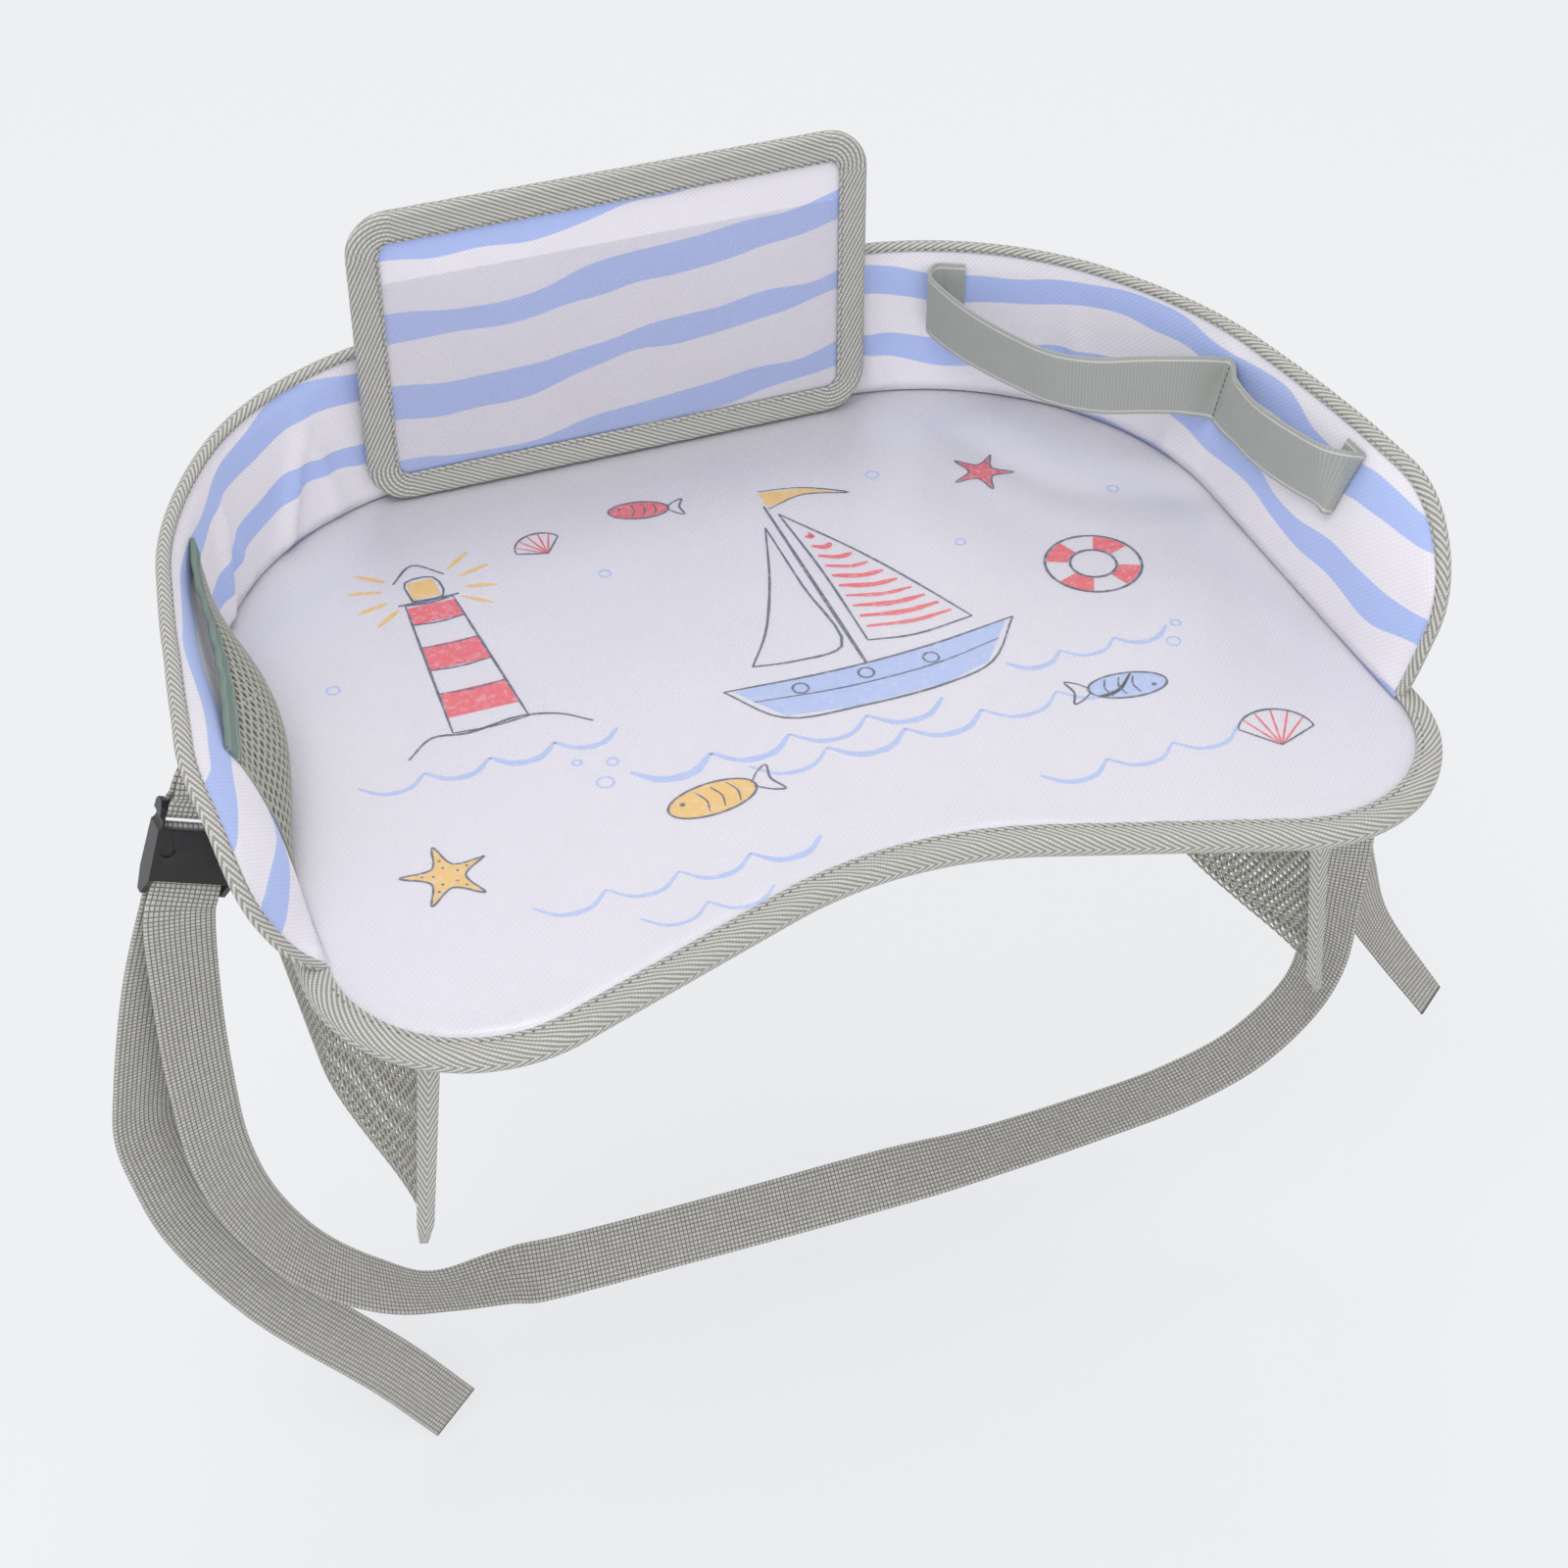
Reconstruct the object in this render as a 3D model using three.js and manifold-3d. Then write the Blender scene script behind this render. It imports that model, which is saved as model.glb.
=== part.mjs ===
// A child's travel tray: a bound flat base, a padded wall round three sides, a removable tablet panel with a
// clear window, an elastic band, a net pocket, two hanging side nets and a webbing strap in two ladder locks.
// Millimetres, +Z up. The origin is the centre of the flat underside, and the belly cut-out faces -Y.
import * as THREE from 'three';
import Module from 'manifold-3d';

const wasm = await Module();
wasm.setup();

// Cloth, film and gaps
const clothThickness = 0.8;
const filmThickness = 0.5;
const layerGap = 0.2;
const tapeThickness = 1.0;
const seatGap = 0.3;
const netThickness = 1.0;
const cutOverrun = 4;

// Base, seen from above, along the inner edge of its binding
const baseHalfWidth = 199;
const baseBackY = 182;
const baseFrontY = -134;
const backCornerRadius = 120;
const lobeRadius = 50;
const bellyOverReach = 1;
const bellyY = -94;
const baseBoardThickness = 3.6;
const bindingWidth = 9.5;
const arcSteps = 12;

// Wall, measured along the seam from the middle of the back
const wallHeight = 65;
const wallFoam = 4;
const wallEndY = -84;
const wallCornerLength = 55;
const wallCornerHeight = 40;
const backFlare = 5;
const sideFlare = 22;
const flareStart = 200;
const flareLength = 140;
const flarePower = 2;
const wallRowShares = [0, 0.4, 0.72, 1];
const wallArcSteps = 14;
const wallSideSteps = 4;
const wallCornerSteps = 6;
const wallTapeFlange = 3;
const wallTapeCrown = 0.7;
const wallTapeLift = 0.6;

// Tablet panel
const panelCornerReach = 26;
const panelHeight = 126;
const panelRadius = 17;
const panelCentreX = -10.6;
const panelBackInset = 5.6;
const panelBoardThickness = 1.6;
const panelClothThickness = 0.6;
const panelTapeThickness = 0.8;
const panelBindingWidth = 12;
const windowThickness = 0.4;
const windowMouthDrop = 17;
const panelArcSteps = 6;

// Hook and loop strips that hold the panel to the wall
const gripEndGap = 4;
const gripHeight = 25;
const gripLift = 14;
const hookThickness = 2.2;
const loopThickness = 3;
const gripSteps = 3;

// Elastic band on the right of the wall: two loops with a stitched middle and a folded tab at each end
const bandHeight = 27;
const bandThickness = 1.2;
const bandStartHeight = 43;
const bandMiddleHeight = 41;
const bandEndHeight = 47;
const bandLift = 0.7;
const bandStart = 128;
const bandMiddle = 261;
const bandEnd = 345;
const bandTab = 11;
const bandLargeSlack = 47;
const bandSmallSlack = 12;
const bandTipShare = 0.17;
const bandFollow = 8;
const bandSteps = 56;

// Net pocket on the left of the wall
const pocketStart = -350;
const pocketEnd = -232;
const pocketFrontHeight = 29;
const pocketBackHeight = 41;
const pocketBulge = 13;
const pocketHemHeight = 9;
const pocketHemThickness = 1.6;
const pocketLift = 0.6;
const pocketColumns = 10;
const pocketRows = 4;
const netOpenShare = 0.62;

// Side nets under the base: a double net each, folded at its lower edge, with a taped front
const netTopInset = 32;
const netSplay = 11;
const netTopWidth = 14;
const netFoldWidth = 5;
const netDepth = 117;
const netSway = 14;
const netFrontY = -90;
const netBackY = 92;
const netColumns = 8;
const netRows = 5;
const netTapeThickness = 1.4;
const netTapeWidth = 13;
const netTapeTipWidth = 9;
const netTapeFold = 7;

// Webbing strap and ladder locks
const webbingWidth = 25;
const webbingThickness = 1.2;
const lockOutset = 29;
const lockCentreY = -14;
const lockCentreZ = 12.4;
const lockRoll = THREE.MathUtils.degToRad(22);
const lockPitch = THREE.MathUtils.degToRad(10);
const lockLength = 35;
const lockInnerWidth = 26;
const lockRailThickness = 2;
const lockRailFront = 5.9;
const lockRailBack = 4.2;
const lockBarRadius = 1.8;
const lockTopBarLift = 15;
const lockMiddleBarLift = 5;
const lockPlateTop = 8.5;
const lockPlateBottom = -10;
const lockPlateThickness = 1.9;
const lockPlateFlare = 1.6;
const lockWaistLift = 10.5;
const lockWaistRadius = 2.6;
const lockWaistDepth = 1.3;
const lockRecessRadius = 2.6;
const lockRecessHeight = 6;
const lockRecessDepth = 1;
const anchorTopHeight = 57;
const anchorBendHeight = 44;
const anchorWaist = 16;
const anchorLift = 1.7;
const anchorStraight = 6;
const anchorSteps = 18;
const strapBelly = 12;
const strapDrop = 245;
const leftTailDrop = 330;
const rightTailDrop = 220;
const strapBack = 7;
const strapSteps = 72;
const tailSteps = 22;
const turnSteps = 6;

// Values worked out from the sizes above
const backHalfStraight = baseHalfWidth - backCornerRadius;
const backCornerY = baseBackY - backCornerRadius;
const panelWidth = 2 * (backHalfStraight + panelCornerReach);
const gripLength = 2 * (backHalfStraight - gripEndGap);
const panelBackY = baseBackY - panelBackInset;
const lobeCentreX = baseHalfWidth - lobeRadius;
const lobeCentreY = baseFrontY + lobeRadius;
const bellyRadius = lobeCentreX + bellyOverReach;
const bellyCentreY = bellyY - bellyRadius;
const baseBoardZ = clothThickness + layerGap;
const baseTopZ = baseBoardZ + baseBoardThickness + layerGap;
const baseFilmZ = baseTopZ + clothThickness + layerGap;
const floorZ = baseFilmZ + filmThickness;
const bindingTopZ = floorZ + layerGap + tapeThickness;
const wallFootZ = bindingTopZ + layerGap;
const wallRise = floorZ + wallHeight - wallFootZ;
const wallCoreIn = clothThickness + layerGap;
const wallCoverIn = wallCoreIn + wallFoam + layerGap;
const wallThickness = wallCoverIn + clothThickness;
const wallLayerInset = tapeThickness + seatGap;
const cornerArcLength = backCornerRadius * Math.PI / 2;
const sideStart = backHalfStraight + cornerArcLength;
const wallEnd = sideStart + backCornerY - wallEndY;
const netTopX = baseHalfWidth - netTopInset;
const netFoldX = netTopX + netSplay;
const lockCentreX = baseHalfWidth + lockOutset;
const strapHalfSpan = lockCentreX + strapBelly;

const cloth = (color) => new THREE.MeshStandardMaterial({ color, roughness: 0.85, metalness: 0 });
const finishes = {
  cover: cloth(0xe6e4ef),
  stripe: cloth(0xa9bdeb),
  tape: cloth(0xa9aaa2),
  webbing: cloth(0x9a998f),
  elastic: cloth(0xa1a5a0),
  hem: cloth(0x9cb0a8),
  net: cloth(0xa8a99f),
  grip: cloth(0xd5d4dc),
  foam: cloth(0xf2f2f2),
  board: new THREE.MeshStandardMaterial({ color: 0xd8d8d8, roughness: 0.6, metalness: 0 }),
  film: new THREE.MeshStandardMaterial({ color: 0xf4f6fb, roughness: 0.12, metalness: 0 }),
  lock: new THREE.MeshStandardMaterial({ color: 0x1c1c1c, roughness: 0.4, metalness: 0 }),
};

const group = new THREE.Group();

// Collects faces over shared points, so that every body it makes is closed
class Patchwork {
  constructor() {
    this.points = [];
    this.faces = [];
    this.names = new Map();
  }

  point(name, make) {
    if (!this.names.has(name)) {
      this.names.set(name, this.points.length);
      this.points.push(make());
    }
    return this.names.get(name);
  }

  quad(a, b, c, d) {
    this.faces.push([a, b, c], [a, c, d]);
  }

  volume() {
    const cross = new THREE.Vector3();
    const part = ([a, b, c]) => this.points[a].dot(cross.crossVectors(this.points[b], this.points[c]));
    return this.faces.reduce((sum, face) => sum + part(face), 0);
  }

  geometry() {
    const outward = this.volume() > 0;
    const geometry = new THREE.BufferGeometry();
    const order = this.faces.map(([a, b, c]) => (outward ? [a, b, c] : [a, c, b]));
    geometry.setFromPoints(this.points);
    geometry.setIndex(order.flat());
    geometry.computeVertexNormals();
    return geometry;
  }
}

function add(name, geometry, finish) {
  const mesh = new THREE.Mesh(geometry, finish);
  mesh.name = name;
  group.add(mesh);
  return mesh;
}

// A thin body between two faces of a surface, with a four-sided gap in each cell when openShare is set
function skin(columnAt, rowAt, place, openShare = 0) {
  const body = new Patchwork();
  const columns = columnAt.length - 1;
  const rows = rowAt.length - 1;
  const corner = (i, j, face) => body.point(`${i},${j},${face}`, () => place(columnAt[i], rowAt[j], face));
  const inCell = (i, j, k, face) => {
    const across = (columnAt[i + 1] - columnAt[i]) / 2;
    const up = (rowAt[j + 1] - rowAt[j]) / 2;
    const [stepAcross, stepUp] = [[0, -1], [1, 0], [0, 1], [-1, 0]][k % 4];
    const u = columnAt[i] + across * (1 + stepAcross * openShare);
    const v = rowAt[j] + up * (1 + stepUp * openShare);
    return body.point(`${i},${j},gap${k % 4},${face}`, () => place(u, v, face));
  };
  for (let i = 0; i < columns; i += 1) {
    for (let j = 0; j < rows; j += 1) {
      for (const face of [0, 1]) {
        const loop = [corner(i, j, face), corner(i + 1, j, face), corner(i + 1, j + 1, face), corner(i, j + 1, face)];
        const turn = (a, b, c) => body.faces.push(face === 0 ? [a, b, c] : [a, c, b]);
        if (openShare === 0) {
          turn(loop[0], loop[1], loop[2]);
          turn(loop[0], loop[2], loop[3]);
        } else {
          for (let k = 0; k < 4; k += 1) {
            turn(loop[k], loop[(k + 1) % 4], inCell(i, j, k, face));
            turn(loop[(k + 1) % 4], inCell(i, j, k + 1, face), inCell(i, j, k, face));
          }
        }
      }
      for (let k = 0; k < 4 && openShare > 0; k += 1) {
        body.quad(inCell(i, j, k, 0), inCell(i, j, k + 1, 0), inCell(i, j, k + 1, 1), inCell(i, j, k, 1));
      }
    }
  }
  const rim = (a, b) => body.quad(corner(...b, 0), corner(...a, 0), corner(...a, 1), corner(...b, 1));
  for (let i = 0; i < columns; i += 1) {
    rim([i, 0], [i + 1, 0]);
    rim([i + 1, rows], [i, rows]);
  }
  for (let j = 0; j < rows; j += 1) {
    rim([columns, j], [columns, j + 1]);
    rim([0, j + 1], [0, j]);
  }
  return body.geometry();
}

// A body whose section, a ring of points, is carried through a row of places, capped or joined end to end
function sweep(rings, section) {
  const body = new Patchwork();
  const joined = section === undefined;
  const count = rings[0].length;
  const at = (i, j) => body.point(`${i % rings.length},${j % count}`, () => rings[i % rings.length][j % count]);
  const last = joined ? rings.length : rings.length - 1;
  for (let i = 0; i < last; i += 1) {
    for (let j = 0; j < count; j += 1) {
      const [a, b, c, d] = [at(i, j), at(i + 1, j), at(i + 1, j + 1), at(i, j + 1)];
      // Both faces of a twisted strip are split along the same diagonal, so its thickness holds
      if (j < count / 2) {
        body.quad(a, b, c, d);
      } else {
        body.quad(b, c, d, a);
      }
    }
  }
  if (!joined) {
    const clockwise = THREE.ShapeUtils.area(section) < 0;
    for (const [a, b, c] of THREE.ShapeUtils.triangulateShape(section, [])) {
      const order = clockwise ? [a, c, b] : [a, b, c];
      body.faces.push(order.map((j) => at(0, j)));
      body.faces.push(order.toReversed().map((j) => at(last, j)));
    }
  }
  return body.geometry();
}

const range = (from, to, steps) => Array.from({ length: steps + 1 }, (_, k) => from + (to - from) * k / steps);

function arc(x, y, radius, from, to, steps) {
  return range(from, to, steps).map((t) => new THREE.Vector2(x + radius * Math.cos(t), y + radius * Math.sin(t)));
}

// Outline of the base, grown outwards from the seam line by the same amount all round
function baseOutline(grow) {
  const rise = lobeCentreY - bellyCentreY;
  const apart = Math.hypot(lobeCentreX, rise);
  const tangent = Math.atan2(rise, lobeCentreX) + Math.acos((bellyRadius + lobeRadius) / apart);
  const back = backCornerRadius + grow;
  const lobe = lobeRadius + grow;
  return [
    ...arc(backHalfStraight, backCornerY, back, 0, Math.PI / 2, arcSteps),
    ...arc(-backHalfStraight, backCornerY, back, Math.PI / 2, Math.PI, arcSteps),
    ...arc(-lobeCentreX, lobeCentreY, lobe, Math.PI, 2 * Math.PI - tangent, arcSteps),
    ...arc(0, bellyCentreY, bellyRadius - grow, Math.PI - tangent, tangent, arcSteps),
    ...arc(lobeCentreX, lobeCentreY, lobe, tangent + Math.PI, 2 * Math.PI, arcSteps),
  ];
}

function plate(outline, z, thickness) {
  const geometry = new THREE.ExtrudeGeometry(new THREE.Shape(outline), { depth: thickness, bevelEnabled: false });
  return geometry.translate(0, 0, z);
}

// A folded tape round a flat outline: section points are an offset of the outline and a level
function boundEdge(outline, section) {
  const loops = section.map(([grow, z]) => outline(grow).map((p) => new THREE.Vector3(p.x, p.y, z)));
  return sweep(loops);
}

function tapeSection(inner, outer, low, high, tape, crown) {
  return [
    [inner, high - tape],
    [inner, high],
    [outer - crown, high],
    [outer, high - crown],
    [outer, low + crown],
    [outer - crown, low],
    [inner, low],
    [inner, low + tape],
    [outer - tape, low + tape],
    [outer - tape, high - tape],
  ];
}

// Base: bottom cover, stiff board, printed top cover, clear film and the tape that binds them
function buildBase() {
  const layers = baseOutline(bindingWidth - tapeThickness - layerGap);
  add('base_bottom_cover', plate(layers, 0, clothThickness), finishes.cover);
  add('base_board', plate(layers, baseBoardZ, baseBoardThickness), finishes.board);
  add('base_top_cover', plate(layers, baseTopZ, clothThickness), finishes.cover);
  add('base_clear_film', plate(layers, baseFilmZ, filmThickness), finishes.film);
  const low = -layerGap - tapeThickness;
  const section = tapeSection(0, bindingWidth, low, bindingTopZ, tapeThickness, tapeThickness);
  add('base_edge_binding', boundEdge(baseOutline, section), finishes.tape);
}

// Seam line of the wall: a place and an outward direction at a distance from the middle of the back
function seamAt(distance) {
  const side = Math.sign(distance) || 1;
  const s = Math.abs(distance);
  const turn = THREE.MathUtils.clamp((s - backHalfStraight) / backCornerRadius, 0, Math.PI / 2);
  const x = Math.min(s, backHalfStraight) + backCornerRadius * Math.sin(turn);
  const y = backCornerY + backCornerRadius * Math.cos(turn) - Math.max(s - sideStart, 0);
  return { place: new THREE.Vector2(side * x, y), out: new THREE.Vector2(side * Math.sin(turn), Math.cos(turn)) };
}

function flareAt(distance) {
  const share = THREE.MathUtils.smoothstep(Math.abs(distance), flareStart, flareStart + flareLength);
  return backFlare + (sideFlare - backFlare) * share;
}

// A point of the wall: distance along the seam, height over the foot and depth outwards from the inner face
function wallPoint(distance, height, depth) {
  const { place, out } = seamAt(distance);
  const lean = flareAt(distance) * Math.sign(height) * Math.abs(height / wallRise) ** flarePower;
  const outwards = place.clone().addScaledVector(out, depth + lean);
  return new THREE.Vector3(outwards.x, outwards.y, wallFootZ + height);
}

function wallUpward(distance, height) {
  const { out } = seamAt(distance);
  const slope = flareAt(distance) * flarePower * height ** (flarePower - 1) / wallRise ** flarePower;
  return new THREE.Vector3(out.x * slope, out.y * slope, 1).normalize();
}

// The rounded front corner of the wall, from the top edge down to the end, drawn in by an inset
function wallCorner(inset) {
  const long = wallCornerLength - inset;
  const tall = wallCornerHeight - inset;
  return range(0, Math.PI / 2, wallCornerSteps).map((t) => ({
    distance: wallEnd - wallCornerLength + long * Math.sin(t),
    height: wallRise - wallCornerHeight + tall * Math.cos(t),
  }));
}

function wallColumns(inset) {
  const top = wallRise - inset;
  const straight = [
    ...range(0, backHalfStraight, 1),
    ...range(backHalfStraight, sideStart, wallArcSteps).slice(1),
    ...range(sideStart, wallEnd - wallCornerLength, wallSideSteps).slice(1, -1),
  ];
  const half = [...straight.map((distance) => ({ distance, height: top })), ...wallCorner(inset)];
  const mirrored = half.slice(1).toReversed().map(({ distance, height }) => ({ distance: -distance, height }));
  return [...mirrored, ...half];
}

function wallLayer(name, from, to, finish) {
  const columns = wallColumns(wallLayerInset);
  const index = columns.map((_, k) => k);
  const place = (k, share, face) => {
    const { distance, height } = columns[k];
    return wallPoint(distance, height * share, face === 0 ? from : to);
  };
  add(name, skin(index, wallRowShares, place), finish);
}

// Wall: inner lining, foam core, outer cover and the tape over its edge
function buildWall() {
  wallLayer('wall_inner_lining', 0, clothThickness, finishes.stripe);
  wallLayer('wall_core', wallCoreIn, wallCoreIn + wallFoam, finishes.foam);
  wallLayer('wall_outer_cover', wallCoverIn, wallThickness, finishes.stripe);
  const reach = wallTapeLift + tapeThickness;
  const profile = tapeSection(-wallTapeFlange, 0, -reach, wallThickness + reach, tapeThickness, wallTapeCrown);
  const edges = profile.map(([grow, depth]) => {
    const columns = wallColumns(-grow);
    const last = columns.at(-1);
    const down = wallRowShares.slice(1, -1).toReversed().map((share) => ({ ...last, height: last.height * share }));
    const end = [...down, { ...last, height: 0 }];
    const start = end.toReversed().map(({ distance, height }) => ({ distance: -distance, height }));
    return [...start, ...columns, ...end].map(({ distance, height }) => wallPoint(distance, height, depth));
  });
  const rings = edges[0].map((_, k) => edges.map((edge) => edge[k]));
  const section = profile.map(([grow, depth]) => new THREE.Vector2(grow, depth));
  add('wall_edge_tape', sweep(rings, section), finishes.tape);
}

// Outline of the tablet panel, about its own centre, grown outwards
function panelOutline(grow) {
  const x = panelWidth / 2 - panelRadius;
  const y = panelHeight / 2 - panelRadius;
  const radius = panelRadius + grow;
  const quarter = Math.PI / 2;
  return [
    ...arc(x, y, radius, 0, quarter, panelArcSteps),
    ...arc(-x, y, radius, quarter, 2 * quarter, panelArcSteps),
    ...arc(-x, -y, radius, 2 * quarter, 3 * quarter, panelArcSteps),
    ...arc(x, -y, radius, 3 * quarter, 4 * quarter, panelArcSteps),
  ];
}

// Stands a flat shape up against the wall: its own z becomes the way towards the front
function stand(mesh, backY) {
  mesh.rotation.x = Math.PI / 2;
  mesh.position.set(panelCentreX, backY, floorZ + layerGap + panelHeight / 2);
}

// Tablet panel: back cover, board, front cover, clear window with an open top, binding and hook strip
function buildPanel() {
  const shrink = -panelTapeThickness - layerGap;
  const layers = panelOutline(shrink);
  const boardZ = panelClothThickness + layerGap;
  const frontZ = boardZ + panelBoardThickness + layerGap;
  const windowZ = frontZ + panelClothThickness + layerGap;
  const layersY = panelBackY - panelTapeThickness - layerGap;
  const top = panelHeight / 2 - panelBindingWidth - windowMouthDrop;
  const [first, second] = [layers.findIndex((p) => p.y <= top), layers.length];
  const side = layers[first].x;
  const window = [
    ...layers.slice(first, second),
    new THREE.Vector2(-side, top),
    new THREE.Vector2(side, top),
  ];
  stand(add('panel_back_cover', plate(layers, 0, panelClothThickness), finishes.cover), layersY);
  stand(add('panel_board', plate(layers, boardZ, panelBoardThickness), finishes.board), layersY);
  stand(add('panel_front_cover', plate(layers, frontZ, panelClothThickness), finishes.stripe), layersY);
  stand(add('panel_window', plate(window, windowZ, windowThickness), finishes.film), layersY);
  const reach = layerGap + panelTapeThickness;
  const high = windowZ + windowThickness + reach;
  const section = tapeSection(-panelBindingWidth, 0, -reach, high, panelTapeThickness, panelTapeThickness);
  stand(add('panel_edge_binding', boundEdge(panelOutline, section), finishes.tape), layersY);

  const strip = new THREE.BoxGeometry(gripLength, hookThickness, gripHeight);
  const hook = add('panel_hook_strip', strip, finishes.grip);
  const stripZ = wallFootZ + gripLift + gripHeight / 2;
  hook.position.set(0, layersY + layerGap + hookThickness / 2, stripZ);
  const place = (distance, height, face) => {
    return wallPoint(distance, height, face === 0 ? -seatGap - loopThickness : -seatGap);
  };
  const columns = range(-gripLength / 2, gripLength / 2, 1);
  const rows = range(gripLift, gripLift + gripHeight, gripSteps);
  add('wall_loop_strip', skin(columns, rows, place), finishes.grip);
}

// A flat strip along a row of stations, each a centre and the direction of its width
function ribbon(stations, width, thickness) {
  const half = thickness / 2;
  const rings = stations.map(({ at, across, wide = width }, k) => {
    const before = stations[Math.max(k - 1, 0)].at;
    const after = stations[Math.min(k + 1, stations.length - 1)].at;
    const along = after.clone().sub(before).normalize();
    const side = across.clone().addScaledVector(along, -across.dot(along)).normalize();
    const up = new THREE.Vector3().crossVectors(along, side);
    const corners = [[-1, -1], [1, -1], [1, 1], [-1, 1]];
    return corners.map(([a, b]) => at.clone().addScaledVector(side, a * wide / 2).addScaledVector(up, b * half));
  });
  const w = width / 2;
  const section = [[-w, -half], [w, -half], [w, half], [-w, half]].map(([x, y]) => new THREE.Vector2(x, y));
  return sweep(rings, section);
}

// Stations evenly spread along a smooth curve through given points, with the width direction turning evenly
function smoothStations(points, acrosses, steps) {
  const path = new THREE.CatmullRomCurve3(points, false, 'centripetal');
  const turning = new THREE.CatmullRomCurve3(acrosses, false, 'catmullrom');
  return range(0, 1, steps).map((share) => {
    const t = path.getUtoTmapping(share);
    return { at: path.getPoint(t), across: turning.getPoint(t).normalize() };
  });
}

// Elastic band: each point of a loop is a share of the way between two stitched places and of the loop's slack
function buildBand() {
  const seat = bandThickness / 2 + bandLift;
  const largeShares = [[-0.024, 0.1], [-0.027, 0.2], [0.008, 0.38], [0.145, 0.73], [0.37, 0.96], [0.6, 1],
    [0.78, 0.84], [0.88, 0.55], [0.96, 0.24]];
  const smallShares = [[0.08, 0.15], [0.25, 0.62], [0.5, 1], [0.78, 0.98], [0.96, 0.76], [1.01, 0.42],
    [1.008, 0.16]];
  const tab = (end, side, height) => [[end + side * bandTab, 0, height], [end + side * bandTab / 2, 0, height]];
  const loop = (shares, from, to, slack, low, high) => shares.map(([along, off]) => {
    return [from + (to - from) * along, slack * off, low + (high - low) * along];
  });
  const route = [
    ...tab(bandStart, 1, bandStartHeight),
    [bandStart, 0, bandStartHeight],
    ...loop(largeShares, bandStart, bandMiddle, bandLargeSlack, bandStartHeight, bandMiddleHeight),
    [bandMiddle, 0, bandMiddleHeight],
    ...loop(smallShares, bandMiddle, bandEnd, bandSmallSlack, bandMiddleHeight, bandEndHeight),
    [bandEnd, 0, bandEndHeight],
    ...tab(bandEnd, -1, bandEndHeight).toReversed(),
  ];
  // Close to the wall the loop leaves it squarely, so it rises where the wall leans
  const points = route.map(([distance, off, height]) => {
    const upward = wallUpward(distance, height);
    const point = wallPoint(distance, height, -seat - off);
    point.z += Math.min(off, bandFollow) * Math.hypot(upward.x, upward.y) / upward.z;
    return point;
  });
  const acrosses = route.map(([distance, off, height]) => {
    const { out } = seamAt(distance);
    const tip = -bandTipShare * off / bandLargeSlack;
    const inLoop = new THREE.Vector3(out.x * tip, out.y * tip, 1).normalize();
    return inLoop.lerp(wallUpward(distance, height), Math.max(1 - off / bandFollow, 0)).normalize();
  });
  add('elastic_band', ribbon(smoothStations(points, acrosses, bandSteps), bandHeight, bandThickness), finishes.elastic);
}

// Net pocket inside the left wall, with an elastic hem along its mouth
function buildPocket() {
  const heightAt = (share) => pocketFrontHeight + (pocketBackHeight - pocketFrontHeight) * share;
  const distanceAt = (share) => pocketStart + (pocketEnd - pocketStart) * share;
  const bulgeAt = (along, up) => pocketBulge * Math.sin(Math.PI * along) * Math.sin(Math.PI * up / 2);
  const netAt = (along, up, face) => {
    const height = pocketLift + (heightAt(along) - pocketLift) * up;
    const off = seatGap + bulgeAt(along, up) + (face === 0 ? netThickness : 0);
    return wallPoint(distanceAt(along), height, -off);
  };
  const hemAt = (along, up, face) => {
    const height = heightAt(along) + layerGap + pocketHemHeight * up;
    const off = seatGap + bulgeAt(along, 1) + (face === 0 ? pocketHemThickness : 0);
    return wallPoint(distanceAt(along), height, -off);
  };
  const columns = range(0, 1, pocketColumns);
  add('wall_pocket_net', skin(columns, range(0, 1, pocketRows), netAt, netOpenShare), finishes.net);
  add('wall_pocket_hem', skin(columns, [0, 1], hemAt), finishes.hem);
}

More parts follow.
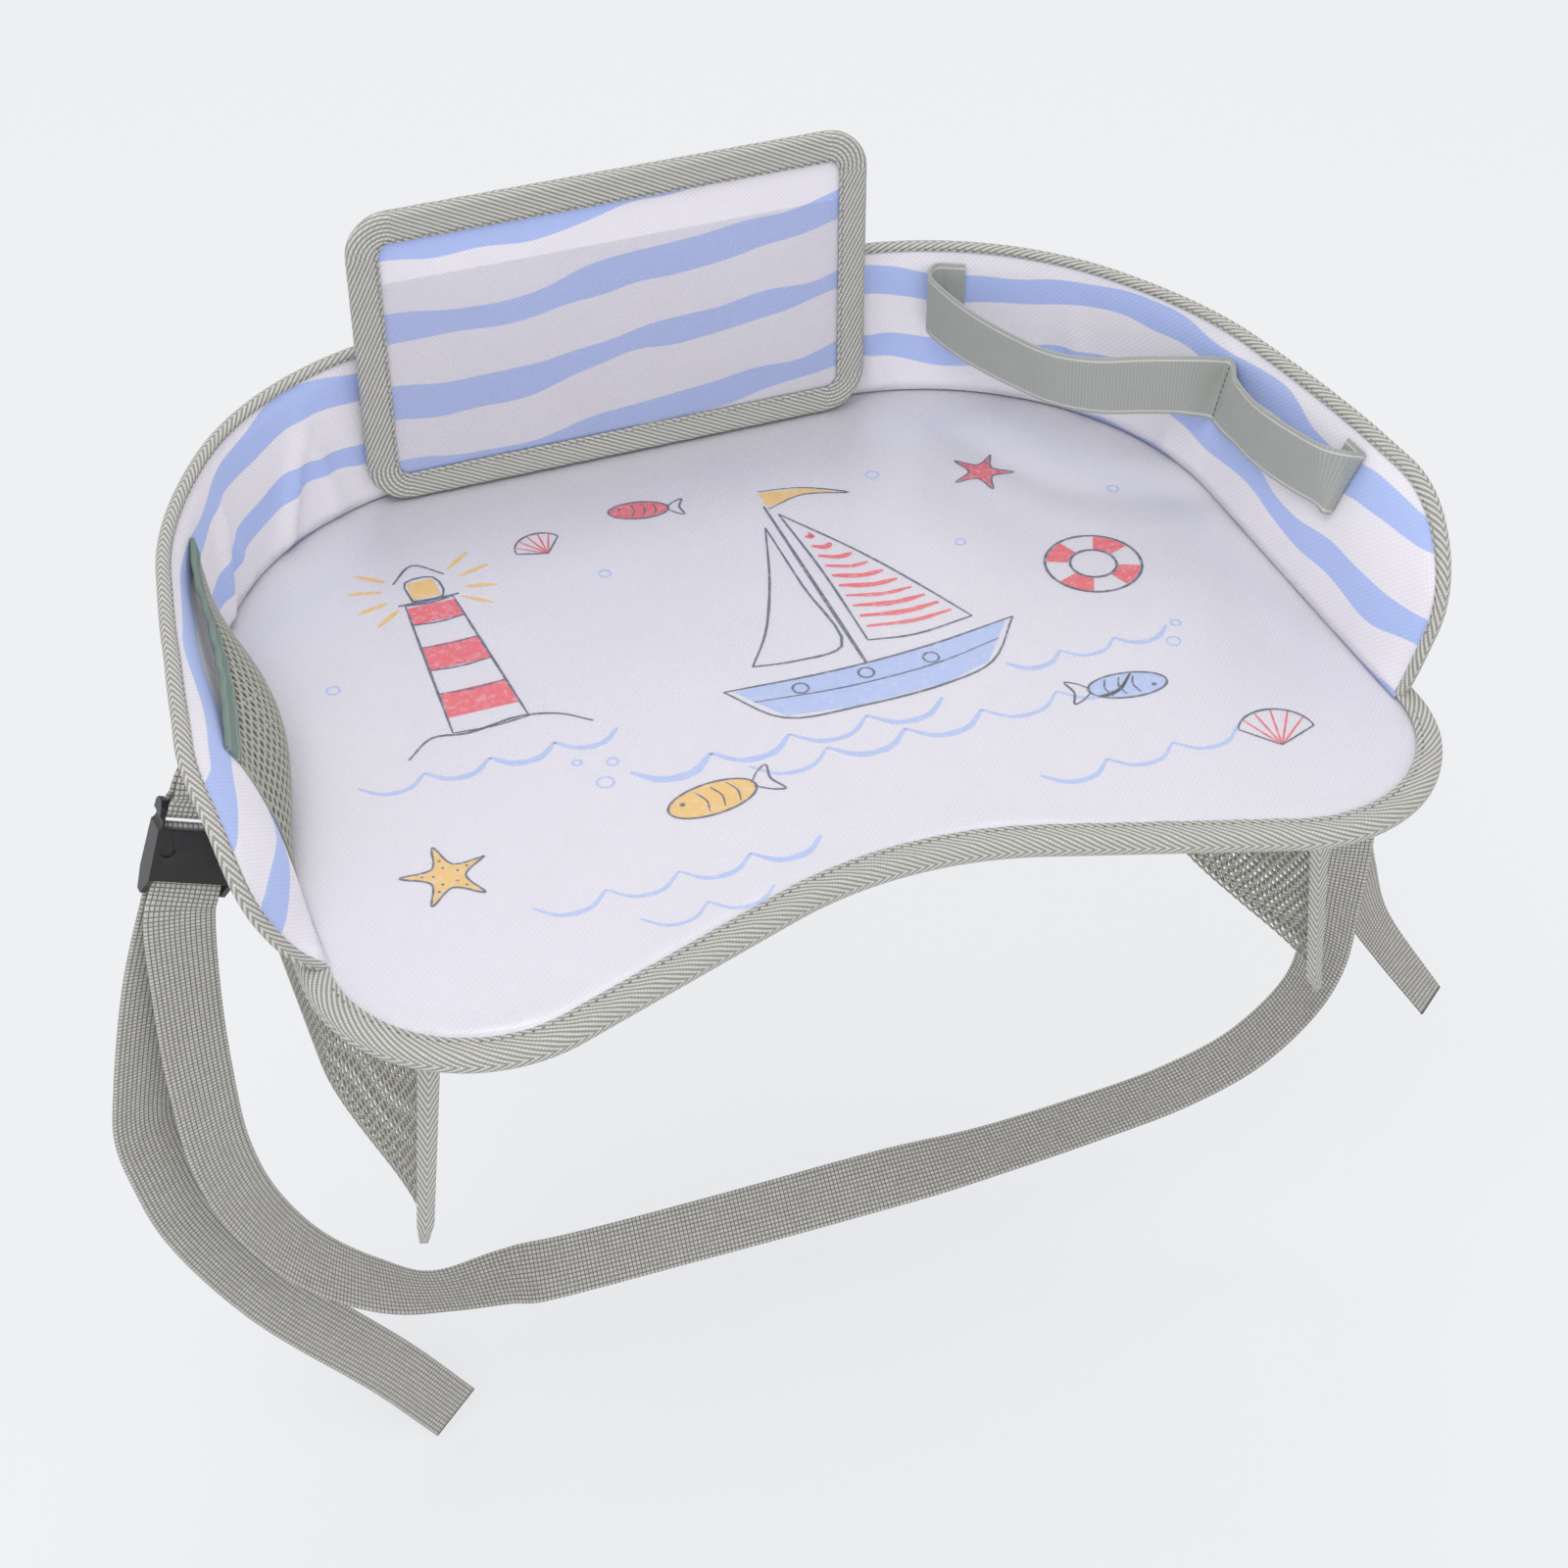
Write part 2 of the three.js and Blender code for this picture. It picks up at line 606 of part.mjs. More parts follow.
// A hanging side net: down the outer sheet, round the fold and up the inner one
function buildSideNet(name, side) {
  const topZ = -layerGap;
  const foldZ = topZ - netDepth;
  const outer = netTopX + netTopWidth / 2;
  const inner = netTopX - netTopWidth / 2;
  const profile = [
    ...range(0, 1, netRows).map((t) => [THREE.MathUtils.lerp(outer, netFoldX + netFoldWidth / 2, t), topZ - netDepth * t]),
    ...range(1, 0, netRows).map((t) => [THREE.MathUtils.lerp(inner, netFoldX - netFoldWidth / 2, t), topZ - netDepth * t]),
  ];
  const place = (y, row, face) => {
    const sway = netSway * THREE.MathUtils.smoothstep(y, netFrontY, 0);
    const k = Math.min(Math.floor(row), profile.length - 2);
    const [x, z] = profile[k].map((value, axis) => THREE.MathUtils.lerp(value, profile[k + 1][axis], row - k));
    const inside = face === 1;
    const toInside = Math.sign(netTopX - x + (netFoldX - netTopX) * (topZ - z) / netDepth) || 1;
    const shift = inside ? netThickness : 0;
    const lift = inside && Math.abs(z - foldZ) < netThickness ? netThickness : 0;
    const swayed = side * (x + shift * toInside) + sway * (z - topZ) / netDepth;
    return new THREE.Vector3(swayed, y, z + lift);
  };
  const ys = range(netFrontY + netTapeThickness + seatGap, netBackY, netColumns);
  const rows = profile.map((_, k) => k);
  add(`${name}_side_net`, skin(ys, rows, place, netOpenShare), finishes.net);

  const tapeY = netFrontY + netTapeThickness / 2;
  const tapeTopZ = topZ - netTapeThickness;
  const stations = range(0, 1, netRows).map((t) => ({
    at: new THREE.Vector3(side * THREE.MathUtils.lerp(netTopX, netFoldX, t), tapeY, tapeTopZ - netDepth * t),
    across: new THREE.Vector3(side, 0, 0),
    wide: THREE.MathUtils.lerp(netTapeWidth, netTapeTipWidth, t),
  }));
  const tip = stations.at(-1);
  const drop = new THREE.Vector3(side * netTapeFold / 4, -netTapeFold / 4, -netTapeFold);
  stations.push({ ...tip, at: tip.at.clone().add(drop), wide: netTapeTipWidth / 2 });
  add(`${name}_net_tape`, ribbon(stations, netTapeWidth, netTapeThickness), finishes.tape);
}

// Ladder lock, in its own frame: x along the bars, y to the back, z up along the strap
function lockGeometry() {
  const solid = (geometry) => {
    const source = (geometry.index ? geometry.toNonIndexed() : geometry).getAttribute('position');
    const body = new Patchwork();
    const at = (k) => {
      const p = new THREE.Vector3().fromBufferAttribute(source, k);
      return body.point(p.toArray().map((value) => value.toFixed(4)).join(), () => p);
    };
    for (let k = 0; k < source.count; k += 3) {
      const face = [at(k), at(k + 1), at(k + 2)];
      if (new Set(face).size === 3) {
        body.faces.push(face);
      }
    }
    const vertProperties = new Float32Array(body.points.flatMap((p) => p.toArray()));
    const triVerts = new Uint32Array(body.faces.flat());
    return new wasm.Manifold(new wasm.Mesh({ numProp: 3, vertProperties, triVerts }));
  };
  const outerHalf = lockInnerWidth / 2 + lockRailThickness;
  // A side profile, drawn with the back to the right, drawn out along the bars
  const along = (points, from, to) => {
    const shape = new THREE.Shape(points.map(([y, z]) => new THREE.Vector2(y, z)));
    const geometry = new THREE.ExtrudeGeometry(shape, { depth: to - from, bevelEnabled: false });
    return geometry.rotateX(Math.PI / 2).rotateZ(Math.PI / 2).translate(from, 0, 0);
  };
  const end = lockLength / 2;
  const chamfer = lockBarRadius;
  const railProfile = [
    [-lockBarRadius, end],
    [lockBarRadius, end],
    [lockBarRadius + chamfer, end - chamfer],
    [lockRailBack, lockMiddleBarLift],
    [lockRailBack, lockPlateBottom],
    [lockBarRadius, -end],
    [-lockBarRadius, -end],
    [-lockRailFront - lockPlateFlare, lockPlateBottom],
    [-lockRailFront, lockPlateTop],
    [-lockBarRadius - chamfer, end - chamfer],
  ];
  const plateFront = -lockRailFront;
  const plateInner = plateFront + lockPlateThickness;
  const plateProfile = [
    [plateInner, lockPlateTop],
    [plateFront, lockPlateTop],
    [plateFront - lockPlateFlare, lockPlateBottom],
    [plateInner - lockPlateFlare, lockPlateBottom],
  ];
  const bar = (lift) => new THREE.CylinderGeometry(lockBarRadius, lockBarRadius, 2 * outerHalf - lockRailThickness, 12)
    .rotateZ(Math.PI / 2).translate(0, 0, lift);
  let lock = solid(along(railProfile, -outerHalf, -outerHalf + lockRailThickness));
  lock = lock.add(solid(along(railProfile, outerHalf - lockRailThickness, outerHalf)));
  lock = lock.add(solid(bar(lockTopBarLift)));
  lock = lock.add(solid(bar(lockMiddleBarLift)));
  lock = lock.add(solid(along(plateProfile, -outerHalf, outerHalf)));
  for (const side of [-1, 1]) {
    const waist = new THREE.CylinderGeometry(lockWaistRadius, lockWaistRadius, 4 * lockRailFront, 16);
    const waistX = side * (outerHalf + lockWaistRadius - lockWaistDepth);
    lock = lock.subtract(solid(waist.translate(waistX, 0, lockWaistLift)));
    // Drop-shaped recess in each upper corner of the thumb plate
    const drop = new THREE.Shape();
    drop.absarc(0, 0, lockRecessRadius, -Math.PI, 0, false);
    drop.lineTo(0, lockRecessHeight);
    const recess = new THREE.ExtrudeGeometry(drop, { depth: cutOverrun, bevelEnabled: false, curveSegments: 5 });
    const recessX = side * (outerHalf - lockRailThickness - lockRecessRadius);
    const recessY = plateFront + lockRecessDepth - lockPlateFlare / 2;
    const lift = lockPlateTop - lockRecessHeight - lockRecessRadius / 2;
    lock = lock.subtract(solid(recess.rotateX(Math.PI / 2).translate(recessX, recessY, lift)));
  }
  const { vertProperties, triVerts } = lock.getMesh();
  const geometry = new THREE.BufferGeometry();
  geometry.setAttribute('position', new THREE.BufferAttribute(vertProperties.slice(), 3));
  geometry.setIndex(new THREE.BufferAttribute(triVerts.slice(), 1));
  geometry.computeVertexNormals();
  return geometry;
}

// Turn of a lock: its top leans inwards and back
function lockTurn(side) {
  return new THREE.Euler(-lockPitch, -side * lockRoll, 0, 'YXZ');
}

// Place and directions of a lock; side is -1 on the left
function lockFrame(side) {
  const turned = (x, y, z) => new THREE.Vector3(x, y, z).applyEuler(lockTurn(side));
  const up = turned(0, 0, 1);
  const across = turned(1, 0, 0);
  const centre = new THREE.Vector3(side * lockCentreX, lockCentreY, lockCentreZ);
  const point = (y, z) => turned(0, y, z).add(centre);
  return { centre, up, across, point };
}

// Half a turn of webbing round a bar, from the front to the back when it goes over the bar
function turnRound(frame, lift, over) {
  const radius = lockBarRadius + seatGap + webbingThickness / 2;
  const sign = over ? 1 : -1;
  return range(0, Math.PI, turnSteps).map((t) => {
    return { at: frame.point(-radius * Math.cos(t), lift + sign * radius * Math.sin(t)), across: frame.across };
  });
}

// Webbing anchor: stitched flat to the outer cover, both layers turn to face the front and hold the top bar
function buildAnchor(name, side) {
  const frame = lockFrame(side);
  const distance = side * (sideStart + backCornerY - frame.point(0, lockTopBarLift).y);
  const seat = wallThickness + anchorLift + webbingThickness / 2;
  const stitchedAcross = new THREE.Vector3(0, -1, 0);
  const barAcross = frame.across.clone().multiplyScalar(-side);
  const bend = turnRound(frame, lockTopBarLift, false).map(({ at }) => ({ at, across: barAcross }));
  const strand = (end, layer) => {
    const depth = seat + layer * (webbingThickness + layerGap);
    const points = [
      wallPoint(distance, anchorTopHeight, depth),
      wallPoint(distance, anchorBendHeight, depth),
      end.clone().addScaledVector(frame.up, anchorStraight),
      end.clone().addScaledVector(frame.up, webbingThickness),
    ];
    const acrosses = [stitchedAcross, stitchedAcross, barAcross, barAcross];
    const stations = smoothStations(points, acrosses, anchorSteps);
    return stations.map((station, k) => {
      const tuck = Math.sin(Math.PI * k / anchorSteps);
      return { ...station, wide: THREE.MathUtils.lerp(webbingWidth, anchorWaist, tuck) };
    });
  };
  const stations = [...strand(bend[0].at, 1), ...bend, ...strand(bend.at(-1).at, 0).toReversed()];
  add(`${name}_anchor_webbing`, ribbon(stations, webbingWidth, webbingThickness), finishes.webbing);
}

// Strap: one length of webbing, from the left tail through both locks to the right tail. Each stop of the route
// is a share of the half span, of the drop under the tray and of the way back, and the width's direction
function buildStrap() {
  const left = lockFrame(-1);
  const right = lockFrame(1);
  const strandY = lockBarRadius + seatGap + webbingThickness / 2;
  const onLock = (frame, y, across) => {
    const lifts = [lockMiddleBarLift - webbingThickness, 0, -lockLength / 2, -lockLength * 2 / 3];
    return lifts.map((lift) => ({ at: frame.point(y, lift), across }));
  };
  const strapY = left.point(-strandY, -lockLength / 2).y;
  const inAir = ([x, z, back, across], drop = strapDrop) => {
    const at = new THREE.Vector3(strapHalfSpan * x, strapY + strapBack * back, -drop * z);
    return { at, across: new THREE.Vector3(...across) };
  };
  const loopRoute = [
    [-0.994, 0.195, 0.4, [-0.98, -0.15, 0.1]],
    [-0.995, 0.383, 0.7, [-0.98, -0.2, 0]],
    [-0.982, 0.569, 1, [-0.94, -0.35, -0.05]],
    [-0.943, 0.711, 1.15, [-0.8, -0.58, -0.2]],
    [-0.863, 0.856, 1.3, [-0.5, -0.82, -0.3]],
    [-0.76, 0.96, 1.4, [-0.25, -0.95, -0.15]],
    [-0.664, 1.015, 1.5, [0, -0.99, 0.1]],
    [-0.552, 1.028, 1.55, [0, -0.97, -0.25]],
    [-0.475, 1.042, 1.6, [0, -0.66, -0.75]],
    [-0.182, 1.054, 1.6, [0, -0.61, -0.79]],
    [0.141, 1.06, 1.6, [0, -0.8, -0.6]],
    [0.331, 1.065, 1.6, [0, -0.97, -0.22]],
    [0.523, 1.057, 1.6, [0, -1, -0.1]],
    [0.718, 1.035, 1.55, [0, -1, -0.05]],
    [0.852, 0.988, 1.5, [0.05, -1, 0]],
    [0.949, 0.894, 1.4, [0.1, -0.99, 0]],
    [0.98, 0.8, 1.25, [0.35, -0.93, 0]],
    [0.978, 0.654, 1, [0.7, -0.7, 0]],
    [0.98, 0.507, 0.8, [0.93, -0.35, 0]],
    [0.98, 0.25, 0.4, [0.98, -0.15, 0.1]],
  ];
  const leftFacing = left.across.clone().multiplyScalar(-1);
  const main = [
    ...onLock(left, -strandY, leftFacing),
    ...loopRoute.map((stop) => inAir(stop)),
    ...onLock(right, -strandY, right.across).toReversed(),
  ];

  // Tails leave behind the main strand and end freely
  const tail = (frame, facing, route, drop) => {
    const way = [...onLock(frame, strandY, facing), ...route.map((stop) => inAir(stop, drop))];
    return smoothStations(way.map(({ at }) => at), way.map(({ across }) => across), tailSteps);
  };
  const leftRoute = [
    [-1.03, 0.14, 1.4, [-0.95, -0.15, 0.28]],
    [-1.072, 0.286, 1.9, [-0.92, -0.28, 0.25]],
    [-1.086, 0.365, 2.2, [-0.92, -0.3, 0]],
    [-1.073, 0.444, 2.4, [-0.88, -0.3, -0.2]],
    [-1.043, 0.537, 2.5, [-0.8, -0.33, -0.4]],
    [-0.938, 0.702, 2.6, [-0.76, -0.35, -0.5]],
    [-0.75, 0.905, 2.7, [-0.76, -0.35, -0.5]],
    [-0.655, 1.019, 2.7, [-0.76, -0.35, -0.5]],
  ];
  const rightRoute = [
    [0.98, 0.2, 1.2, [0.97, -0.15, 0.1]],
    [0.985, 0.41, 1.7, [0.96, -0.2, 0]],
    [0.998, 0.584, 2, [0.97, -0.1, 0]],
    [1.041, 0.732, 1.8, [0.9, 0.3, 0]],
    [1.089, 0.858, 1.2, [0.78, 0.55, -0.05]],
    [1.179, 1.036, -0.2, [0.7, 0.67, -0.1]],
  ];
  const leftTail = tail(left, leftFacing, leftRoute, leftTailDrop).toReversed();
  const rightTail = tail(right, right.across, rightRoute, rightTailDrop);
  const overLeft = turnRound(left, lockMiddleBarLift, true).map(({ at }) => ({ at, across: leftFacing }));
  const overRight = turnRound(right, lockMiddleBarLift, true);
  const loop = smoothStations(main.map(({ at }) => at), main.map(({ across }) => across), strapSteps);
  const flip = (stations) => stations.map(({ at, across }) => ({ at, across: across.clone().negate() }));
  const stations = [...flip(leftTail), ...overLeft.toReversed().slice(1, -1), ...loop, ...overRight.slice(1, -1), ...rightTail];
  add('strap_webbing', ribbon(stations, webbingWidth, webbingThickness), finishes.webbing);
}

buildBase();
buildWall();
buildPanel();
buildBand();
buildPocket();
for (const [name, side] of [['left', -1], ['right', 1]]) {
  buildSideNet(name, side);
  buildAnchor(name, side);
  const lock = add(`${name}_ladder_lock`, lockGeometry(), finishes.lock);
  lock.position.set(side * lockCentreX, lockCentreY, lockCentreZ);
  lock.rotation.copy(lockTurn(side));
}
buildStrap();

export default group;
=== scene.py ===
"""A child's travel tray, dressed for a studio picture.

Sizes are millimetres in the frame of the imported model: +Z up, the belly cut-out towards -Y, and the origin in
the middle of the base's underside. Each mesh is turned to metres when it is finished.
"""
import logging
import math
from collections.abc import Callable, Iterable, Sequence
from dataclasses import dataclass, field
from enum import Enum
from functools import partial
from itertools import accumulate, pairwise, product

import bmesh
import bpy
from mathutils import Matrix, Vector


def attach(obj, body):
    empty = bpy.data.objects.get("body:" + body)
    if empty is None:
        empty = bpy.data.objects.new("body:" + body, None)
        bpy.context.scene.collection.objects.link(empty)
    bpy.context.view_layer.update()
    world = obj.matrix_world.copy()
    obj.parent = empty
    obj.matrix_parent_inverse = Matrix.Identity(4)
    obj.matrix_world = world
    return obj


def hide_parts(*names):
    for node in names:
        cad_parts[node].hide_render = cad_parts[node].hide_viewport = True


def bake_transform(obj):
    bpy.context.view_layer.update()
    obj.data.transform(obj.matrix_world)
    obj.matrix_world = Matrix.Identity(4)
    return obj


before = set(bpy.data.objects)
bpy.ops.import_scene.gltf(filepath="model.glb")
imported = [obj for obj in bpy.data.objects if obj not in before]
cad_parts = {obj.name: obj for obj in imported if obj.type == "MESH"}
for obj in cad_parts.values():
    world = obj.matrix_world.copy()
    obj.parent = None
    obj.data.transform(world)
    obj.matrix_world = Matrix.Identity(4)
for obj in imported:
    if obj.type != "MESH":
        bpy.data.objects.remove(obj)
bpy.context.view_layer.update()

LOG = logging.getLogger("travel_tray")
MM = 0.001
UP = Vector((0, 0, 1))
Flat = tuple[float, float]
Place = tuple[float, float, float]
Stop = tuple[float, float, float, Place]
Mesh = bmesh.types.BMesh
Tree = bpy.types.NodeTree
Node = bpy.types.Node
AddNode = Callable[..., Node]
Socket = bpy.types.NodeSocket


class Side(Enum):
    """The two sides of the tray, as the sign of their x."""

    LEFT = -1
    RIGHT = 1

    @property
    def word(self) -> str:
        """The side's name in lower case."""
        return self.name.lower()


# Numbers and curves

def lerp(low: float, high: float, share: float) -> float:
    """The value a share of the way from low to high."""
    return low + (high - low) * share


def smoothstep(value: float, low: float, high: float) -> float:
    """0 before low, 1 after high and an even curve between them."""
    share = min(max((value - low) / (high - low), 0.0), 1.0)
    return share * share * (3 - 2 * share)


def steps(low: float, high: float, count: int) -> list[float]:
    """Evenly spread values from low to high, both kept."""
    return [lerp(low, high, k / count) for k in range(count + 1)]


def lengths(points: Sequence[Vector], closed: bool = False) -> list[float]:
    """The distance run along a row of points at each of them, and back at the first where it is closed."""
    ring = [*points, points[0]] if closed else points
    return list(accumulate(((b - a).length for a, b in pairwise(ring)), initial=0.0))


def split(a: Flat, b: Flat, span: float) -> list[Flat]:
    """A point and, before the next one, as many as keep the spans short."""
    count = max(math.ceil(math.dist(a, b) / span), 1)
    return [(lerp(a[0], b[0], k / count), lerp(a[1], b[1], k / count)) for k in range(count)]


def arc(x: float, y: float, radius: float, start: float, end: float, count: int) -> list[Flat]:
    """Points on part of a circle, from one angle to another."""
    return [(x + radius * math.cos(t), y + radius * math.sin(t)) for t in steps(start, end, count)]


def at_level(points: Iterable[Flat], level: float = 0.0) -> list[Vector]:
    """Flat points as places at one level."""
    return [Vector((*point, level)) for point in points]


@dataclass(frozen=True)
class SmoothLine:
    """A Catmull-Rom curve through points: centripetal for places, uniform for directions."""

    points: Sequence[Vector]
    centripetal: bool = True

    def at(self, share: float) -> Vector:
        """The point at a share of the curve's own parameter.

        Args:
            share: 0 at the first point and 1 at the last.

        Returns:
            The point on the curve.
        """
        last = len(self.points) - 1
        spot = share * last
        k = min(int(spot), last - 1)
        t = spot - k
        b, c = self.points[k], self.points[k + 1]
        a = self.points[k - 1] if k > 0 else b * 2 - c
        d = self.points[k + 2] if k + 2 <= last else c * 2 - b
        if self.centripetal:
            middle = math.sqrt((c - b).length) or 1.0
            first = math.sqrt((b - a).length) or middle
            final = math.sqrt((d - c).length) or middle
            leave = ((b - a) / first - (c - a) / (first + middle) + (c - b) / middle) * middle
            arrive = ((c - b) / middle - (d - b) / (middle + final) + (d - c) / final) * middle
        else:
            leave = (c - a) / 2
            arrive = (d - b) / 2
        square = -3 * b + 3 * c - 2 * leave - arrive
        cube = 2 * b - 2 * c + leave + arrive
        return b + leave * t + square * t ** 2 + cube * t ** 3

    def even(self, count: int, fine: int = 24) -> list[float]:
        """Shares of the parameter whose points lie an even distance apart.

        Args:
            count: Number of spans.
            fine: Samples between two points of the curve.

        Returns:
            The shares, one more than the spans.
        """
        table = steps(0, 1, fine * (len(self.points) - 1))
        run = lengths([self.at(t) for t in table])
        found = []
        k = 0
        for goal in steps(0, run[-1], count):
            while k < len(run) - 2 and run[k + 1] < goal:
                k += 1
            gap = run[k + 1] - run[k]
            found.append(lerp(table[k], table[k + 1], min((goal - run[k]) / gap, 1.0) if gap else 0.0))
        return found


@dataclass(frozen=True)
class Station:
    """A place on a ribbon's middle line, the direction of its width and its share of the full width."""

    at: Vector
    across: Vector
    wide: float = 1.0


def stations_along(points: Sequence[Vector], acrosses: Sequence[Vector], count: int) -> list[Station]:
    """Evenly spread stations on a smooth line, with the width direction turning evenly.

    Args:
        points: Places that the line passes through.
        acrosses: The direction of the width at each place.
        count: Number of spans.

    Returns:
        The stations, one more than the spans.
    """
    path = SmoothLine(points)
    turning = SmoothLine(acrosses, centripetal=False)
    return [Station(path.at(t), turning.at(t).normalized()) for t in path.even(count)]


# Meshes

def gathered(distance: float, gathers: Iterable[Flat]) -> float:
    """Height of the small gathers in a sewn tape, each given as its size and its length."""
    return sum(size * math.sin(distance / length) for size, length in gathers)


def flat_section(width: float, thickness: float, spans: int = 6) -> list[Flat]:
    """Closed outline of a flat band with round edges, as (across, up) points.

    Args:
        width: Full width.
        thickness: Full thickness.
        spans: Spans across each face.

    Returns:
        The points, clockwise from the upper left.
    """
    radius = thickness / 2
    reach = width / 2 - radius
    top = [(across, radius) for across in steps(-reach, reach, spans)]
    turn = steps(math.pi / 4, 3 * math.pi / 4, 2)
    edge = [(reach + radius * math.sin(t), radius * math.cos(t)) for t in turn]
    return [*top, *edge, *((-a, -b) for a, b in top), *((-a, -b) for a, b in edge)]


def tape_section(inner: float, outer: float, low: float, high: float, tape: float, crown: float) -> list[Flat]:
    """Closed outline of a tape folded over an edge, as (growth, level) points.

    Args:
        inner: Where both legs of the tape end.
        outer: The outermost reach of the fold.
        low: Outer face of the lower leg.
        high: Outer face of the upper leg.
        tape: Thickness of the tape.
        crown: Radius of the fold's two corners.

    Returns:
        The points, from the tip of the upper leg round the fold and back inside.
    """
    def corner(level: float, start: float) -> list[Flat]:
        """A quarter turn of the fold."""
        return arc(outer - crown, level, crown, start, start - math.pi / 2, 4)

    softness = 0.35
    tip = tape * softness
    leg = steps(inner + tip, outer - crown, 4)
    hollow = outer - tape - crown * softness
    return [
        (inner, high - tape + tip),
        (inner, high - tip),
        *((grow, high) for grow in leg[:-1]),
        *corner(high - crown, math.pi / 2),
        *corner(low + crown, 0),
        *((grow, low) for grow in reversed(leg[:-1])),
        (inner, low + tip),
        (inner, low + tape - tip),
        (inner + tip, low + tape),
        (hollow, low + tape),
        (hollow, high - tape),
        (inner + tip, high - tape),
    ]


def tape_width(section: Sequence[Flat]) -> list[float]:
    """Distance round a folded tape at each point of its section, measured from the middle of its fold.

    Args:
        section: The tape's outline, from tape_section.

    Returns:
        The distances, and the first point's again at the end.
    """
    round_it = lengths(at_level(section), closed=True)
    reach = max(grow for grow, _ in section)
    fold = [run for run, (grow, _) in zip(round_it, section) if grow > reach - 1e-6]
    middle = sum(fold) / len(fold)
    return [run - middle for run in round_it]


def grid(columns: int, rows: int) -> tuple[Mesh, dict[bmesh.types.BMVert, tuple[int, int]]]:
    """A flat grid, and the column and row of each of its vertices.

    Args:
        columns: Spans along x.
        rows: Spans along y.

    Returns:
        The mesh and its cells.
    """
    bm = bmesh.new()
    bmesh.ops.create_grid(bm, x_segments=columns, y_segments=rows, size=1)
    return bm, {v: (round((v.co.x + 1) / 2 * columns), round((v.co.y + 1) / 2 * rows)) for v in bm.verts}


def lay_map(bm: Mesh, spot: Callable[[bmesh.types.BMVert], Flat]) -> None:
    """Gives a mesh its pattern map in metres, from the spot of each vertex in millimetres.

    Args:
        bm: The mesh.
        spot: Gives a vertex's spot in millimetres.
    """
    layer = bm.loops.layers.uv.new("UVMap")
    for loop in (loop for face in bm.faces for loop in face.loops):
        along, across = spot(loop.vert)
        loop[layer].uv = (along * MM, across * MM)


def thicken(bm: Mesh, faces: Sequence[bmesh.types.BMFace], height: float) -> None:
    """Pulls flat faces up into a layer of this height."""
    moved = bmesh.ops.extrude_face_region(bm, geom=faces)["geom"]
    bmesh.ops.translate(bm, verts=[g for g in moved if isinstance(g, bmesh.types.BMVert)], vec=(0, 0, height))


def add_layer(bm: Mesh, outline: Iterable[Flat], low: float, height: float) -> None:
    """Adds a flat layer cut to an outline."""
    thicken(bm, [bm.faces.new([bm.verts.new(place) for place in at_level(outline, low)])], height)


def close(bm: Mesh) -> None:
    """Caps the open edges of a mesh and turns its faces outwards."""
    bmesh.ops.holes_fill(bm, edges=[edge for edge in bm.edges if edge.is_boundary], sides=0)
    bmesh.ops.recalc_face_normals(bm, faces=bm.faces[:])


def loft(rings: Sequence[Sequence[Vector]], run: Sequence[float], width: Sequence[float], closed: bool) -> Mesh:
    """A skin through rings of points, capped at both ends or joined end to end.

    Args:
        rings: One closed ring of points for each station.
        run: The pattern's distance along the piece at each station.
        width: The pattern's distance across the piece at each point of a ring, and back at the first.
        closed: True where the last ring joins the first.

    Returns:
        The mesh, with its pattern map in metres.
    """
    count = len(rings[0])
    bm, cell = grid(len(rings) if closed else len(rings) - 1, count)
    lay_map(bm, lambda vert: (run[cell[vert][0]], width[cell[vert][1]]))
    for vert, (i, j) in cell.items():
        vert.co = rings[i % len(rings)][j % count]
    bmesh.ops.remove_doubles(bm, verts=bm.verts[:], dist=1e-4)
    close(bm)
    return bm


def ribbon(stations: Sequence[Station], section: Sequence[Flat]) -> Mesh:
    """A band whose section is carried along stations, square to the line.

    Args:
        stations: Places along the middle of the band.
        section: Closed outline of the band, across and up.

    Returns:
        The closed mesh, with its pattern map along and across the band.
    """
    last = len(stations) - 1
    rings = []
    for k, station in enumerate(stations):
        along = (stations[min(k + 1, last)].at - stations[max(k - 1, 0)].at).normalized()
        side = (station.across - along * station.across.dot(along)).normalized()
        up = along.cross(side)
        rings.append([station.at + side * a * station.wide + up * b for a, b in section])
    across = [a for a, _ in section]
    return loft(rings, lengths([station.at for station in stations]), [*across, across[0]], closed=False)


def sheet_grid(columns: int, rows: int, place: Callable[[float, float], tuple[Vector, Flat]]) -> Mesh:
    """One layer of cloth laid out as a grid.

    Args:
        columns: Spans along the cloth.
        rows: Spans up the cloth.
        place: Gives the point and the pattern's (along, up) for two shares from 0 to 1.

    Returns:
        The open mesh, with its pattern map in metres.
    """
    bm, cell = grid(columns, rows)
    spots = {vert: place(i / columns, j / rows) for vert, (i, j) in cell.items()}
    lay_map(bm, lambda vert: spots[vert][1])
    for vert, (point, _) in spots.items():
        vert.co = point
    return bm


def plate(outline: Sequence[Flat], low: float, high: float, rim: float = 0.0) -> Mesh:
    """A flat layer cut to an outline, with a softened rim.

    Args:
        outline: The cut line, anticlockwise.
        low: Level of the underside.
        high: Level of the top.
        rim: Width of the rounded edge, or 0 for a plain cut.

    Returns:
        The closed mesh, with its pattern map laid over it.
    """
    bm = bmesh.new()
    add_layer(bm, outline, low, high - low)
    bmesh.ops.recalc_face_normals(bm, faces=bm.faces[:])
    if rim:
        edges = [e for e in bm.edges if abs(e.verts[0].co.z - e.verts[1].co.z) < 1e-6]
        bmesh.ops.bevel(bm, geom=edges, offset=rim, offset_type="OFFSET", segments=3, profile=0.5,
                        affect="EDGES", material=-1, clamp_overlap=True)
    lay_map(bm, lambda vert: vert.co.xy)
    return bm


